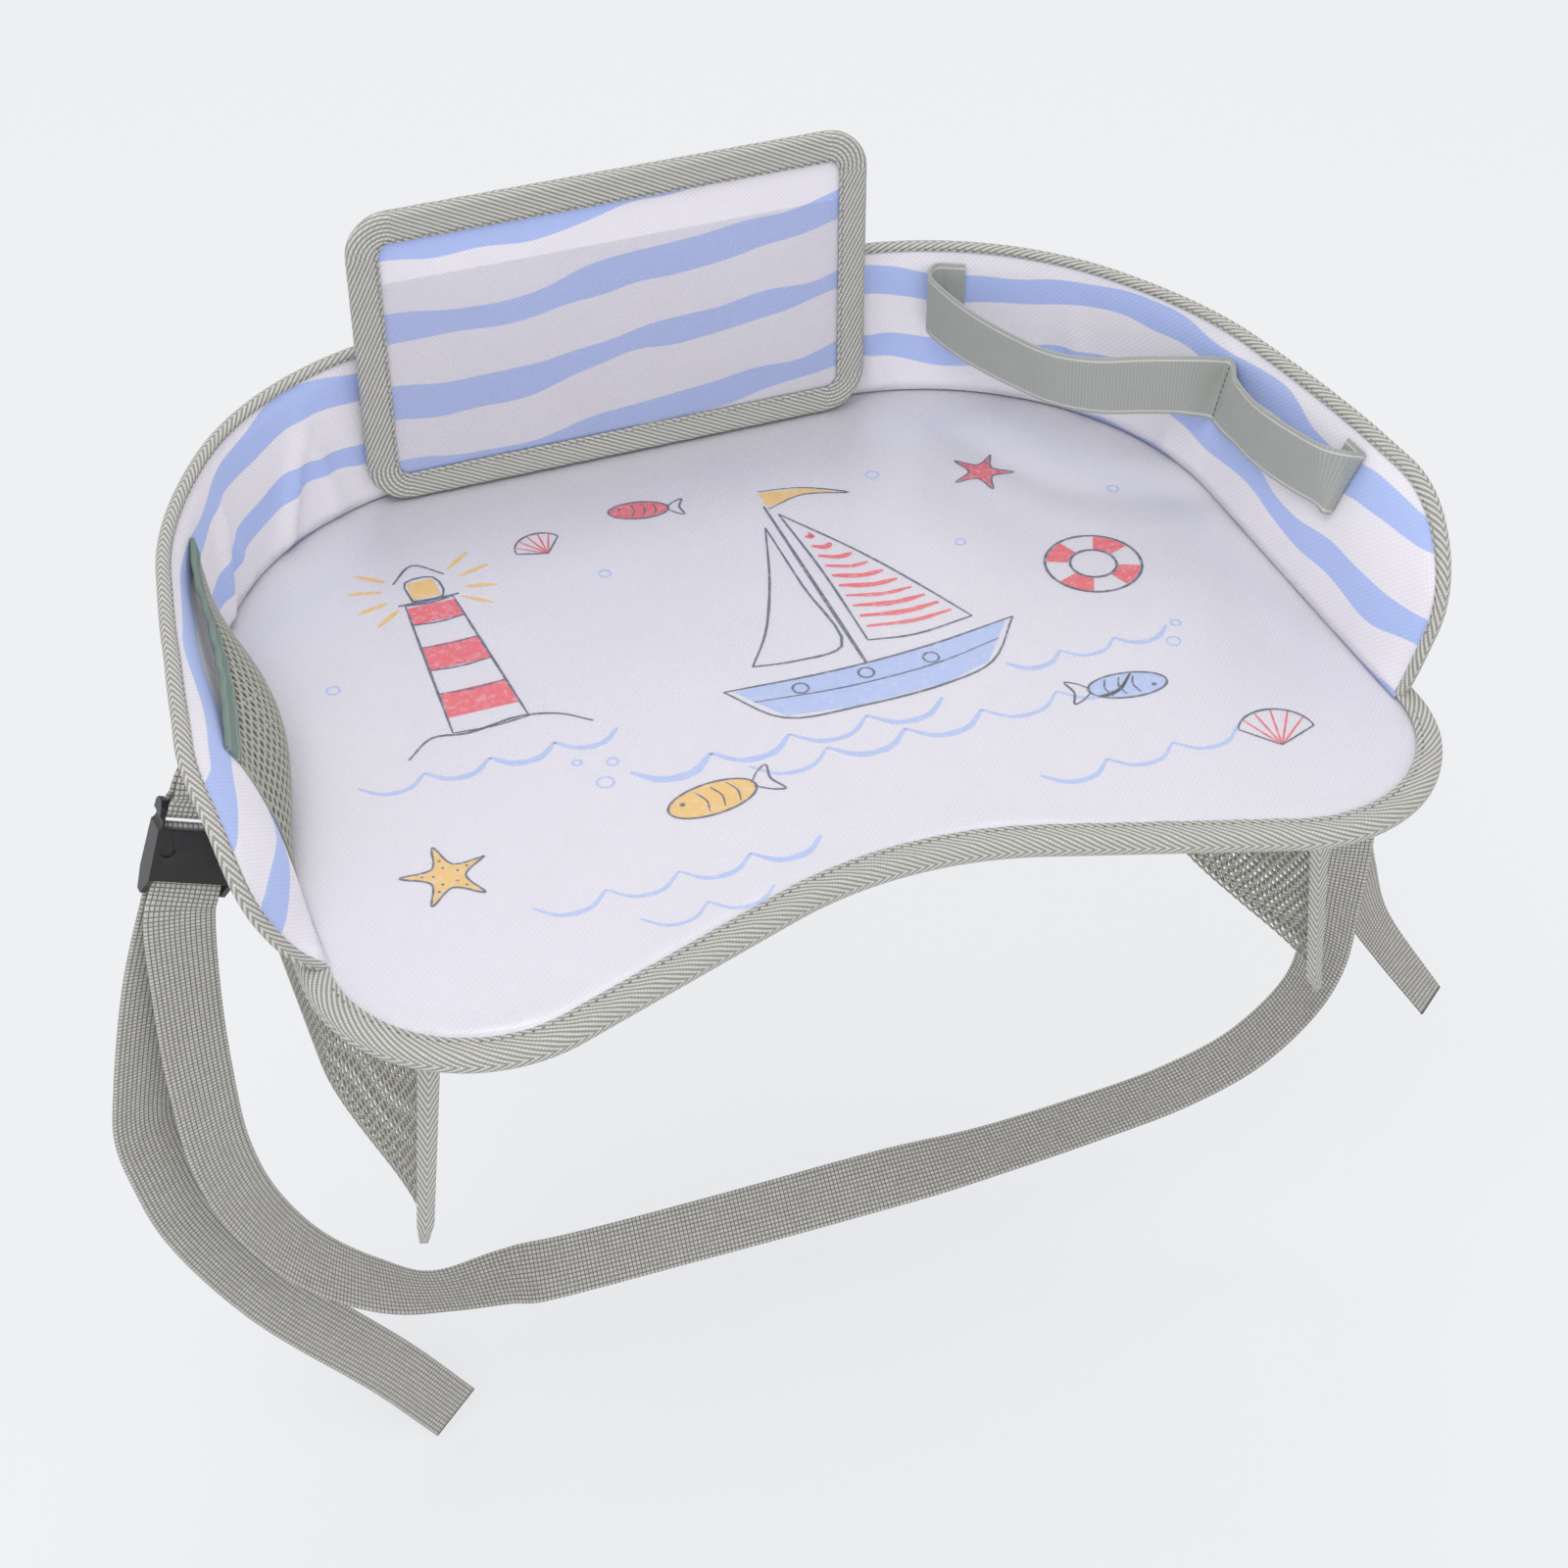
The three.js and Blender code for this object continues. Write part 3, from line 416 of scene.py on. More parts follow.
@dataclass(frozen=True)
class Netting:
    """Knitted mesh cloth with six-sided gaps in staggered rows."""

    pitch: float = 4.3
    row: float = 3.4
    thread: float = 1.0
    thickness: float = 0.6

    def mesh(self, width: float, length: float, place: Callable[[float, float], Vector]) -> Mesh:
        """Cuts a net of the given size and carries it to its place.

        Args:
            width: Size along the rows.
            length: Size across the rows.
            place: Gives the point for a distance along and a distance across.

        Returns:
            The open net, with its pattern map in metres.
        """
        columns = 2 * round(width / self.pitch)
        rows = round(length / self.row)
        bm, cell = grid(columns, rows)
        dropped = []
        for edge in bm.edges:
            (i, j), (other, above) = (cell[v] for v in edge.verts)
            if i == other and 0 < i < columns and (i + min(j, above)) % 2:
                dropped.append(edge)
        for vert, (i, j) in cell.items():
            stagger = 0 if j in (0, rows) else self.row / 6 * (1 if (i + j) % 2 == 0 else -1)
            vert.co = (i * width / columns, j * length / rows + stagger, 0)
        bmesh.ops.dissolve_edges(bm, edges=dropped, use_verts=False, use_face_split=False)
        gaps = bm.faces[:]
        bmesh.ops.inset_individual(bm, faces=gaps, thickness=self.thread / 2, use_even_offset=True)
        bmesh.ops.delete(bm, geom=gaps, context="FACES")
        lay_map(bm, lambda vert: vert.co.xy)
        for vert in bm.verts:
            vert.co = place(vert.co.x, vert.co.y)
        return bm


@dataclass(frozen=True)
class Seam:
    """A row of short stitches pressed into the cloth."""

    pitch: float = 3.3
    length: float = 2.3
    radius: float = 0.34

    def sew(self, bm: Mesh, path: Sequence[Vector], normals: Sequence[Vector]) -> Mesh:
        """Lays stitches along a path.

        Args:
            bm: The mesh that the stitches join.
            path: Close points along the seam.
            normals: Direction out of the cloth at each point.

        Returns:
            The same mesh, with the stitches.
        """
        run = lengths(path)
        k = 0
        for goal in steps(self.pitch / 2, run[-1] - self.pitch / 2, max(round(run[-1] / self.pitch) - 1, 1)):
            while k < len(run) - 2 and run[k + 1] < goal:
                k += 1
            at = path[k].lerp(path[k + 1], (goal - run[k]) / (run[k + 1] - run[k]))
            along = (path[k + 1] - path[k]).normalized()
            side = normals[k].cross(along).normalized()
            out = along.cross(side)
            matrix = Matrix.Identity(4)
            axes = (along * self.length / 2, side * self.radius, out * self.radius * 0.6, at)
            for column, axis in enumerate(axes):
                matrix.col[column][:3] = axis
            bmesh.ops.create_icosphere(bm, subdivisions=1, radius=1, matrix=matrix)
        return bm


# Finishes

def srgb(code: str) -> tuple[float, float, float, float]:
    """Turns an sRGB hex colour to linear RGBA."""
    parts = (int(code[k:k + 2], 16) / 255 for k in (0, 2, 4))
    return (*(c / 12.92 if c <= 0.04045 else ((c + 0.055) / 1.055) ** 2.4 for c in parts), 1.0)


def add_node(tree: Tree, kind: str, inputs: dict | None = None, **settings: str | float | bool) -> Node:
    """Adds a node with its settings, and with its inputs set or linked.

    Args:
        tree: The material's node tree.
        kind: The node's type, without the ShaderNode ahead of it.
        inputs: For each input, a value, the socket that feeds it, or a node whose first output does.
        **settings: Values of the node's own properties.

    Returns:
        The new node.
    """
    node = tree.nodes.new(f"ShaderNode{kind}")
    for key, value in settings.items():
        setattr(node, key, value)
    for key, value in (inputs or {}).items():
        feed = value.outputs[0] if isinstance(value, Node) else value
        if isinstance(feed, Socket):
            tree.links.new(feed, node.inputs[key])
        else:
            node.inputs[key].default_value = value
    return node


def band_scale(spacing: float) -> float:
    """Wave texture scale for straight bands that lie this many millimetres apart."""
    return 2 * math.pi / (20 * spacing * MM)


def twill_scale(spacing: float) -> float:
    """Wave texture scale for diagonal bands that lie this many millimetres apart."""
    return 2 * math.pi / (10 * math.sqrt(2) * spacing * MM)


def spot_scale(spacing: float) -> float:
    """Noise or cell texture scale for spots that lie this many millimetres apart."""
    return 1 / (spacing * MM)


@dataclass(frozen=True)
class Finish:
    """A named material, made once and shared."""

    name: str

    def material(self) -> bpy.types.Material:
        """The finished material.

        Returns:
            The material, which is made at the first call.
        """
        known = bpy.data.materials.get(self.name)
        if known:
            return known
        made = bpy.data.materials.new(self.name)
        made.use_nodes = True
        made.node_tree.nodes.clear()
        add = partial(add_node, made.node_tree)
        add("OutputMaterial", {"Surface": self.surface(add)})
        return made

    def surface(self, add: AddNode) -> Node:
        """Adds the finish's nodes and returns the one that gives its shader.

        Args:
            add: Adds a node to the material.

        Returns:
            The shader's node.
        """
        raise NotImplementedError


@dataclass(frozen=True)
class PrintedTwill(Finish):
    """Polyester twill, woven and heat-printed: a soft satin face with fine diagonal ribs."""

    ground: str = "E7E5EC"
    stripe: str = "AEC0F0"
    striped: bool = False
    # The real yarns are 1.1 mm apart; 1.3 mm is the finest that the picture shows
    rib: float = 1.3
    stripe_pitch: float = 29.0
    stripe_phase: float = 0.0
    stripe_slope: float = 0.0
    wander: float = 15.0
    crease: float = 0.5

    def stripes(self, add: AddNode, spot: Node) -> Node:
        """A mask of long wavy stripes that run along the cloth and swell and narrow.

        Args:
            add: Adds a node to the material.
            spot: The pattern's coordinates.

        Returns:
            The mask's node.
        """
        parts = add("SeparateXYZ", {0: spot})
        along = add("CombineXYZ", {0: parts, 1: self.stripe_phase})
        noise = add("TexNoise", {"Vector": along, "Scale": spot_scale(90.91), "Detail": 1.5, "Roughness": 0.4})
        level = add("Math", {0: parts, 1: -self.stripe_slope, 2: parts.outputs[1]}, operation="MULTIPLY_ADD")
        drift = add("Math", {0: noise, 1: self.wander * MM * 2, 2: level}, operation="MULTIPLY_ADD")
        turn = add("Math", {
            0: drift, 1: 2 * math.pi / (self.stripe_pitch * MM),
            2: self.stripe_phase}, operation="MULTIPLY_ADD")
        wave = add("Math", {0: turn}, operation="SINE")
        swell = add("TexNoise", {"Vector": spot, "Scale": spot_scale(58.82), "Detail": 1.0})
        low = add("Math", {0: swell, 1: 1.9, 2: -0.62}, operation="MULTIPLY_ADD")
        high = add("Math", {0: low, 1: 0.1}, operation="ADD")
        mask = add("MapRange", {0: wave, 1: low, 2: high}, interpolation_type="SMOOTHSTEP")
        return mask

    def surface(self, add: AddNode) -> Node:
        """Twill ribs, a cloudy ground and, where the cloth has them, wavy stripes.

        Args:
            add: Adds a node to the material.

        Returns:
            The shader's node.
        """
        spot = add("UVMap", uv_map="UVMap")
        turned = add("VectorMath", {0: spot, 1: (1, -1, 1)}, operation="MULTIPLY")
        warp = add("TexWave", {"Vector": spot, "Scale": twill_scale(self.rib)}, bands_direction="DIAGONAL")
        weft = add("TexWave", {
            "Vector": turned, "Scale": twill_scale(self.rib * 1.25)}, bands_direction="DIAGONAL")
        ribs = add("Math", {0: warp.outputs["Fac"], 1: weft.outputs["Fac"]}, operation="MULTIPLY")
        cloud = add("TexNoise", {"Vector": spot, "Scale": spot_scale(41.67), "Detail": 3.0})
        colour = srgb(self.ground)[:3]
        if self.striped:
            mix = add("Mix", {
                0: self.stripes(add, spot), 6: srgb(self.ground), 7: srgb(self.stripe)}, data_type="RGBA")
            colour = mix.outputs[2]
        shade = add("MapRange", {0: ribs, 3: 0.91, 4: 1.04})
        tint = add("MapRange", {0: cloud, 3: 0.965, 4: 1.02})
        both = add("Math", {0: shade, 1: tint}, operation="MULTIPLY")
        base = add("VectorMath", {0: colour, "Scale": both}, operation="SCALE")
        weave = add("Bump", {"Height": ribs, "Strength": 0.5, "Distance": 0.2 * MM})
        soft = add("Bump", {"Height": cloud, "Strength": self.crease, "Distance": 2 * MM, "Normal": weave})
        return add("BsdfPrincipled", {
            "Base Color": base, "Normal": soft, "Roughness": 0.72, "IOR": 1.48, "Specular IOR Level": 0.35,
            "Sheen Weight": 0.2, "Sheen Roughness": 0.4})


@dataclass(frozen=True)
class HerringboneTape(Finish):
    """Polyester herringbone tape: matte, with zigzag ribs of light and dark grey yarn."""

    light: str = "D6D6D1"
    dark: str = "83837C"
    # Millimetres from rib to rib and from bead to bead
    rib: float = 1.6
    bead: float = 1.1
    lean: float = 28.0

    def surface(self, add: AddNode) -> Node:
        """Beaded ribs that lean away from the tape's middle line on both sides.

        Args:
            add: Adds a node to the material.

        Returns:
            The shader's node.
        """
        spot = add("UVMap", uv_map="UVMap")
        parts = add("SeparateXYZ", {0: spot})
        fold = add("Math", {0: parts.outputs[1]}, operation="ABSOLUTE")
        folded = add("CombineXYZ", {0: parts, 1: fold})
        angle = math.radians(90 - self.lean)
        line = add("VectorRotate", {"Vector": folded, "Angle": -angle}, rotation_type="Z_AXIS")
        cords = add("TexWave", {"Vector": line, "Scale": band_scale(self.rib)}, bands_direction="X")
        beads = add("TexWave", {"Vector": line, "Scale": band_scale(self.bead)}, bands_direction="Y")
        knobs = add("MapRange", {0: beads.outputs["Fac"], 3: 0.6, 4: 1.0})
        ribs = add("Math", {0: cords.outputs["Fac"], 1: knobs}, operation="MULTIPLY")
        yarn = add("TexNoise", {"Vector": spot, "Scale": spot_scale(1.111), "Detail": 2.0})
        mix = add("Mix", {0: ribs, 6: srgb(self.dark), 7: srgb(self.light)}, data_type="RGBA")
        tint = add("MapRange", {0: yarn, 3: 0.9, 4: 1.1})
        base = add("VectorMath", {0: mix.outputs[2], "Scale": tint}, operation="SCALE")
        bump = add("Bump", {"Height": ribs, "Strength": 0.8, "Distance": 0.4 * MM})
        return add("BsdfPrincipled", {
            "Base Color": base, "Normal": bump, "Roughness": 0.7, "IOR": 1.48, "Specular IOR Level": 0.3,
            "Sheen Weight": 0.15})


@dataclass(frozen=True)
class WovenWebbing(Finish):
    """Polypropylene webbing: stiff and faintly shiny, in rows of floats with dark gaps between them."""

    light: str = "BFBEB8"
    other: str = "B3B2AB"
    dark: str = "6B6A63"
    # Millimetres from row to row and along one float
    row: float = 1.7
    float_length: float = 1.8
    sealed: float = 0.0
    singe: float = 1.1

    def surface(self, add: AddNode) -> Node:
        """Rows of short floats across the webbing, and darker where a cut end was sealed by heat.

        Args:
            add: Adds a node to the material.

        Returns:
            The shader's node.
        """
        spot = add("UVMap", uv_map="UVMap")
        parts = add("SeparateXYZ", {0: spot})
        crossed = add("CombineXYZ", {0: parts.outputs[1], 1: parts})
        floats = add("TexBrick", {
            "Vector": crossed, "Color1": srgb(self.light), "Color2": srgb(self.other),
            "Mortar": srgb(self.dark), "Scale": 1.0, "Mortar Size": self.row * 0.19 * MM, "Mortar Smooth": 0.8,
            "Brick Width": self.float_length * MM, "Row Height": self.row * MM}, offset=0.0)
        cloud = add("TexNoise", {"Vector": spot, "Scale": spot_scale(6.25), "Detail": 3.0})
        tint = add("MapRange", {0: cloud, 3: 0.92, 4: 1.06})
        base = add("VectorMath", {0: floats, "Scale": tint}, operation="SCALE")
        colour = base
        if self.sealed:
            half = self.sealed / 2 * MM
            middle = add("Math", {0: parts, 1: half}, operation="SUBTRACT")
            far = add("Math", {0: middle}, operation="ABSOLUTE")
            end = add("MapRange", {0: far, 1: half - self.singe * MM, 2: half - self.singe * 0.4 * MM})
            mix = add("Mix", {0: end, 6: colour, 7: srgb("4A4642")}, data_type="RGBA")
            colour = mix.outputs[2]
        bump = add("Bump", {
            "Height": floats.outputs["Fac"], "Strength": 0.8, "Distance": 0.3 * MM}, invert=True)
        return add("BsdfPrincipled", {
            "Base Color": colour, "Normal": bump, "Roughness": 0.55, "IOR": 1.49, "Specular IOR Level": 0.5,
            "Sheen Weight": 0.1})


@dataclass(frozen=True)
class RibbedElastic(Finish):
    """Woven elastic: matte, with fine ribs along it and a paler smooth line inside each edge."""

    light: str = "AFB3AE"
    dark: str = "989C97"
    edge: str = "C3C5BF"
    half_width: float = 13.5
    sheen: float = 0.15
    # The real ribs are 0.8 mm apart; 1.1 mm is the finest that the picture shows
    rib: float = 1.1

    def surface(self, add: AddNode) -> Node:
        """Ribs along the band, crossed by the weft, between two pale lines.

        Args:
            add: Adds a node to the material.

        Returns:
            The shader's node.
        """
        spot = add("UVMap", uv_map="UVMap")
        parts = add("SeparateXYZ", {0: spot})
        ribs = add("TexWave", {"Vector": spot, "Scale": band_scale(self.rib)}, bands_direction="Y")
        weft = add("TexWave", {"Vector": spot, "Scale": band_scale(self.rib * 1.2)}, bands_direction="X")
        height = add("Math", {0: ribs.outputs["Fac"], 1: weft.outputs["Fac"]}, operation="MULTIPLY")
        off = add("Math", {0: parts.outputs[1]}, operation="ABSOLUTE")
        near = add("Math", {0: off, 1: (self.half_width - 1.7) * MM, 2: 0.45 * MM}, operation="COMPARE")
        body = add("Mix", {0: height, 6: srgb(self.dark), 7: srgb(self.light)}, data_type="RGBA")
        base = add("Mix", {0: near, 6: body.outputs[2], 7: srgb(self.edge)}, data_type="RGBA")
        bump = add("Bump", {"Height": height, "Strength": 0.45, "Distance": 0.2 * MM})
        return add("BsdfPrincipled", {
            "Base Color": base.outputs[2], "Normal": bump, "Roughness": 0.82, "IOR": 1.5,
            "Specular IOR Level": 2 * self.sheen, "Sheen Weight": self.sheen})


@dataclass(frozen=True)
class Yarn(Finish):
    """Spun polyester yarn, as knitted in the nets or sewn in the seams: matte with a faint twist."""

    light: str = "B1B1A6"
    dark: str = "8A8A80"
    twist: float = 0.9

    def surface(self, add: AddNode) -> Node:
        """A twisted yarn of two close greys.

        Args:
            add: Adds a node to the material.

        Returns:
            The shader's node.
        """
        spot = add("TexCoord").outputs["Object"]
        ply = add("TexWave", {
            "Vector": spot, "Scale": twill_scale(self.twist), "Distortion": 3.0,
            "Detail": 2.0}, bands_direction="DIAGONAL")
        mix = add("Mix", {0: ply.outputs["Fac"], 6: srgb(self.dark), 7: srgb(self.light)}, data_type="RGBA")
        bump = add("Bump", {"Height": ply.outputs["Fac"], "Strength": 0.4, "Distance": 0.2 * MM})
        return add("BsdfPrincipled", {
            "Base Color": mix.outputs[2], "Normal": bump, "Roughness": 0.8, "IOR": 1.5,
            "Specular IOR Level": 0.3, "Sheen Weight": 0.2})


@dataclass(frozen=True)
class HookAndLoop(Finish):
    """Nylon hook and loop tape: a matte field of tiny hooks or fuzz."""

    light: str = "DEDDE4"
    dark: str = "A9A8B2"
    # The real hooks stand about 1 mm apart; 1.4 mm keeps them clear of the picture's grain
    hook: float = 1.4

    def surface(self, add: AddNode) -> Node:
        """A field of small round tufts.

        Args:
            add: Adds a node to the material.

        Returns:
            The shader's node.
        """
        spot = add("TexCoord").outputs["Object"]
        tufts = add("TexVoronoi", {"Vector": spot, "Scale": spot_scale(self.hook)})
        mix = add("Mix", {0: tufts, 6: srgb(self.light), 7: srgb(self.dark)}, data_type="RGBA")
        bump = add("Bump", {"Height": tufts, "Strength": 0.9, "Distance": 0.6 * MM}, invert=True)
        return add("BsdfPrincipled", {
            "Base Color": mix.outputs[2], "Normal": bump, "Roughness": 0.9, "IOR": 1.53, "Sheen Weight": 0.3})


@dataclass(frozen=True)
class ClearFilm(Finish):
    """Soft clear PVC film: nearly unseen, with glossy glints that waver where it lies unevenly."""

    tint: str = "F3F5FB"
    haze: float = 0.03
    gloss: float = 0.06
    ripple: float = 0.15

    def surface(self, add: AddNode) -> Node:
        """Clear film with a glossy face and a trace of haze.

        Args:
            add: Adds a node to the material.

        Returns:
            The shader's node.
        """
        spot = add("TexCoord").outputs["Object"]
        waves = add("TexNoise", {"Vector": spot, "Scale": spot_scale(45.45), "Detail": 2.0})
        bump = add("Bump", {"Height": waves, "Strength": self.ripple, "Distance": 4 * MM})
        facing = add("LayerWeight", {"Normal": bump}).outputs["Facing"]
        rise = add("Math", {0: facing, 1: 5.0}, operation="POWER")
        share = add("Math", {0: rise, 1: 0.9, 2: self.gloss}, operation="MULTIPLY_ADD")
        clear = add("BsdfTransparent", {"Color": (0.975, 0.975, 0.98, 1)})
        gloss = add("BsdfAnisotropic", {"Color": (1, 1, 1, 1), "Roughness": 0.3, "Normal": bump})
        milk = add("BsdfPrincipled", {
            "Base Color": srgb(self.tint), "Roughness": 0.3, "IOR": 1.52, "Normal": bump})
        shiny = add("MixShader", {0: share, 1: clear, 2: gloss})
        return add("MixShader", {0: self.haze, 1: shiny, 2: milk})


@dataclass(frozen=True)
class MouldedPlastic(Finish):
    """Injection-moulded acetal or polyethylene: satin, with a fine even grain and soft highlights."""

    colour: str = "171718"
    roughness: float = 0.34
    grain: float = 0.6

    def surface(self, add: AddNode) -> Node:
        """A fine moulded grain under a soft shine.

        Args:
            add: Adds a node to the material.

        Returns:
            The shader's node.
        """
        spot = add("TexCoord").outputs["Object"]
        grain = add("TexNoise", {"Vector": spot, "Scale": spot_scale(self.grain), "Detail": 2.0})
        tone = add("MapRange", {0: grain, 3: 0.85, 4: 1.2})
        base = add("VectorMath", {0: srgb(self.colour)[:3], "Scale": tone}, operation="SCALE")
        shine = add("MapRange", {0: grain, 3: self.roughness - 0.06, 4: self.roughness + 0.08})
        bump = add("Bump", {"Height": grain, "Strength": 0.12, "Distance": 0.2 * MM})
        return add("BsdfPrincipled", {"Base Color": base, "Roughness": shine, "IOR": 1.5, "Normal": bump})


@dataclass(frozen=True)
class PrintInk(Finish):
    """Screen-print ink on twill: flat colour that thins where the cloth's ribs rise."""

    colour: str = "3C4866"
    patchy: float = 0.16

    def surface(self, add: AddNode) -> Node:
        """Ink with a dry, chalky unevenness.

        Args:
            add: Adds a node to the material.

        Returns:
            The shader's node.
        """
        spot = add("TexCoord").outputs["Object"]
        chalk = add("TexNoise", {"Vector": spot, "Scale": spot_scale(2.381), "Detail": 4.0, "Roughness": 0.7})
        share = add("MapRange", {0: chalk, 1: 0.5, 2: 0.75, 3: 0.0, 4: self.patchy * 3})
        mix = add("Mix", {0: share, 6: srgb(self.colour), 7: srgb("E7E5EC")}, data_type="RGBA")
        return add("BsdfPrincipled", {
            "Base Color": mix.outputs[2], "Roughness": 0.7, "IOR": 1.48, "Specular IOR Level": 0.3})


@dataclass(frozen=True)
class SheetPlastic(Finish):
    """Pressed board or closed-cell foam inside the covers: matte with a fine even grain."""

    colour: str = "DCDCDA"
    grain: float = 1.4

    def surface(self, add: AddNode) -> Node:
        """A fine cellular grain.

        Args:
            add: Adds a node to the material.

        Returns:
            The shader's node.
        """
        spot = add("TexCoord").outputs["Object"]
        cells = add("TexVoronoi", {"Vector": spot, "Scale": spot_scale(self.grain)})
        tone = add("MapRange", {0: cells, 3: 1.0, 4: 0.9})
        base = add("VectorMath", {0: srgb(self.colour)[:3], "Scale": tone}, operation="SCALE")
        bump = add("Bump", {"Height": cells, "Strength": 0.3, "Distance": 0.3 * MM})
        return add("BsdfPrincipled", {"Base Color": base, "Roughness": 0.7, "IOR": 1.49, "Normal": bump})


@dataclass(frozen=True)
class StudioPaper(Finish):
    """Pale background paper: it shows its own colour to the eye and keeps a soft shadow."""

    colour: str = "EBEDEF"
    glow: float = 0.72

    def surface(self, add: AddNode) -> Node:
        """Paper whose colour is lifted only where it is looked at or mirrored.

        Args:
            add: Adds a node to the material.

        Returns:
            The shader's node.
        """
        rays = add("LightPath")
        seen = add("Math", {
            0: rays.outputs["Is Camera Ray"], 1: rays.outputs["Is Glossy Ray"]}, operation="MAXIMUM")
        through = add("Math", {0: seen, 1: rays.outputs["Is Transmission Ray"]}, operation="MAXIMUM")
        share = add("Math", {0: through, 1: self.glow}, operation="MULTIPLY")
        plain = add("BsdfDiffuse", {"Color": srgb(self.colour)})
        bright = add("Emission", {"Color": srgb(self.colour), "Strength": 1.0})
        return add("MixShader", {0: share, 1: plain, 2: bright})


COVER = PrintedTwill("printed_twill_cloth")
STRIPED = PrintedTwill("striped_twill_cloth", striped=True)
PANEL_STRIPED = PrintedTwill("striped_panel_cloth", striped=True, stripe_pitch=33.5, stripe_phase=0.6,
                             stripe_slope=0.08, wander=17.0, crease=0.25)
TAPE = HerringboneTape("herringbone_tape")
WEBBING = WovenWebbing("polypropylene_webbing")
ELASTIC = RibbedElastic("ribbed_elastic")
HEM = RibbedElastic("knitted_hem_elastic", light="86978F", dark="71827A", edge="90A098", half_width=4.5,
                    sheen=0.03)
NET_YARN = Yarn("net_yarn")
THREAD = Yarn("sewing_thread", light="8A8A80", dark="5A5A52", twist=0.7)
DARK_THREAD = Yarn("dark_thread", light="77786F", dark="4E4F49")
GRIP = HookAndLoop("hook_and_loop_tape")
FILM = ClearFilm("clear_pvc_film")
PLASTIC = MouldedPlastic("moulded_black_plastic")
FOAM = SheetPlastic("foam_sheet", colour="F0F0F0")
BOARD = SheetPlastic("pressed_board")


def add_object(name: str, data: bpy.types.ID) -> bpy.types.Object:
    """Puts a mesh, a lamp or a camera in the scene."""
    made = bpy.data.objects.new(name, data)
    bpy.context.scene.collection.objects.link(made)
    return made


def make_piece(bm: Mesh, name: str, finish: Finish, body: str | None, slot: str, replaces: Iterable[str] = (),
               scale: float = MM, solid: float = 0.0, crisp: float = 50.0) -> bpy.types.Object:
    """Turns a mesh under way into a placed and painted piece.

    Args:
        bm: The mesh, which is used up.
        name: The piece's name.
        finish: Its finish.
        body: The body it rides on, or None to leave it on no body.
        slot: Not used.
        replaces: The solids it stands for.
        scale: From the mesh's units to metres.
        solid: Thickness in millimetres that one layer of cloth is given, or 0.
        crisp: Edges sharper than this many degrees stay sharp.

    Returns:
        The piece's object.
    """
    bmesh.ops.scale(bm, vec=(scale,) * 3, verts=bm.verts[:])
    mesh = bpy.data.meshes.new(name)
    bm.to_mesh(mesh)
    bm.free()
    mesh.shade_smooth()
    mesh.set_sharp_from_angle(angle=math.radians(crisp))
    mesh.materials.append(finish.material())
    piece = add_object(name, mesh)
    if solid:
        layer = piece.modifiers.new("Thickness", "SOLIDIFY")
        layer.thickness = solid * MM
        layer.offset = 0
    if body:
        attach(piece, body)
    if replaces:
        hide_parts(*replaces)
    LOG.info("%s: %d faces, %s, on %s", name, len(mesh.polygons), finish.name, body or "two bodies")
    return piece


# Shape of the tray

@dataclass(frozen=True)
class BaseForm:
    """The kidney-shaped base, along the inner edge of its binding."""

    half_width: float = 199.0
    back_y: float = 182.0
    front_y: float = -134.0
    back_radius: float = 120.0
    lobe_radius: float = 50.0
    belly_radius: float = 150.0
    belly_y: float = -94.0
    fineness: int = 46
    straights: tuple[int, ...] = (38, 36, 22, 22, 36)

    def outline(self, grow: float = 0.0) -> list[Flat]:
        """The base's outline, anticlockwise, grown outwards by the same amount all round.

        Args:
            grow: Distance outwards from the inner edge of the binding.

        Returns:
            The points.
        """
        back_x = self.half_width - self.back_radius
        back_y = self.back_y - self.back_radius
        lobe_x = self.half_width - self.lobe_radius
        lobe_y = self.front_y + self.lobe_radius
        belly_y = self.belly_y - self.belly_radius
        rise = lobe_y - belly_y
        apart = math.hypot(lobe_x, rise)
        meet = math.atan2(rise, lobe_x) + math.acos((self.belly_radius + self.lobe_radius) / apart)
        back = self.back_radius + grow
        lobe = self.lobe_radius + grow
        turns = (
            (back_x, back_y, back, 0, math.pi / 2),
            (-back_x, back_y, back, math.pi / 2, math.pi),
            (-lobe_x, lobe_y, lobe, math.pi, 2 * math.pi - meet),
            (0, belly_y, self.belly_radius - grow, math.pi - meet, meet),
            (lobe_x, lobe_y, lobe, meet + math.pi, 2 * math.pi),
        )
        arcs = [arc(*turn, self.fineness) for turn in turns]
        points = []
        for k, turn in enumerate(arcs):
            (x, y), (next_x, next_y) = turn[-1], arcs[(k + 1) % len(arcs)][0]
            spans = self.straights[k]
            points += turn
            points += [(lerp(x, next_x, j / spans), lerp(y, next_y, j / spans)) for j in range(1, spans)]
        return points


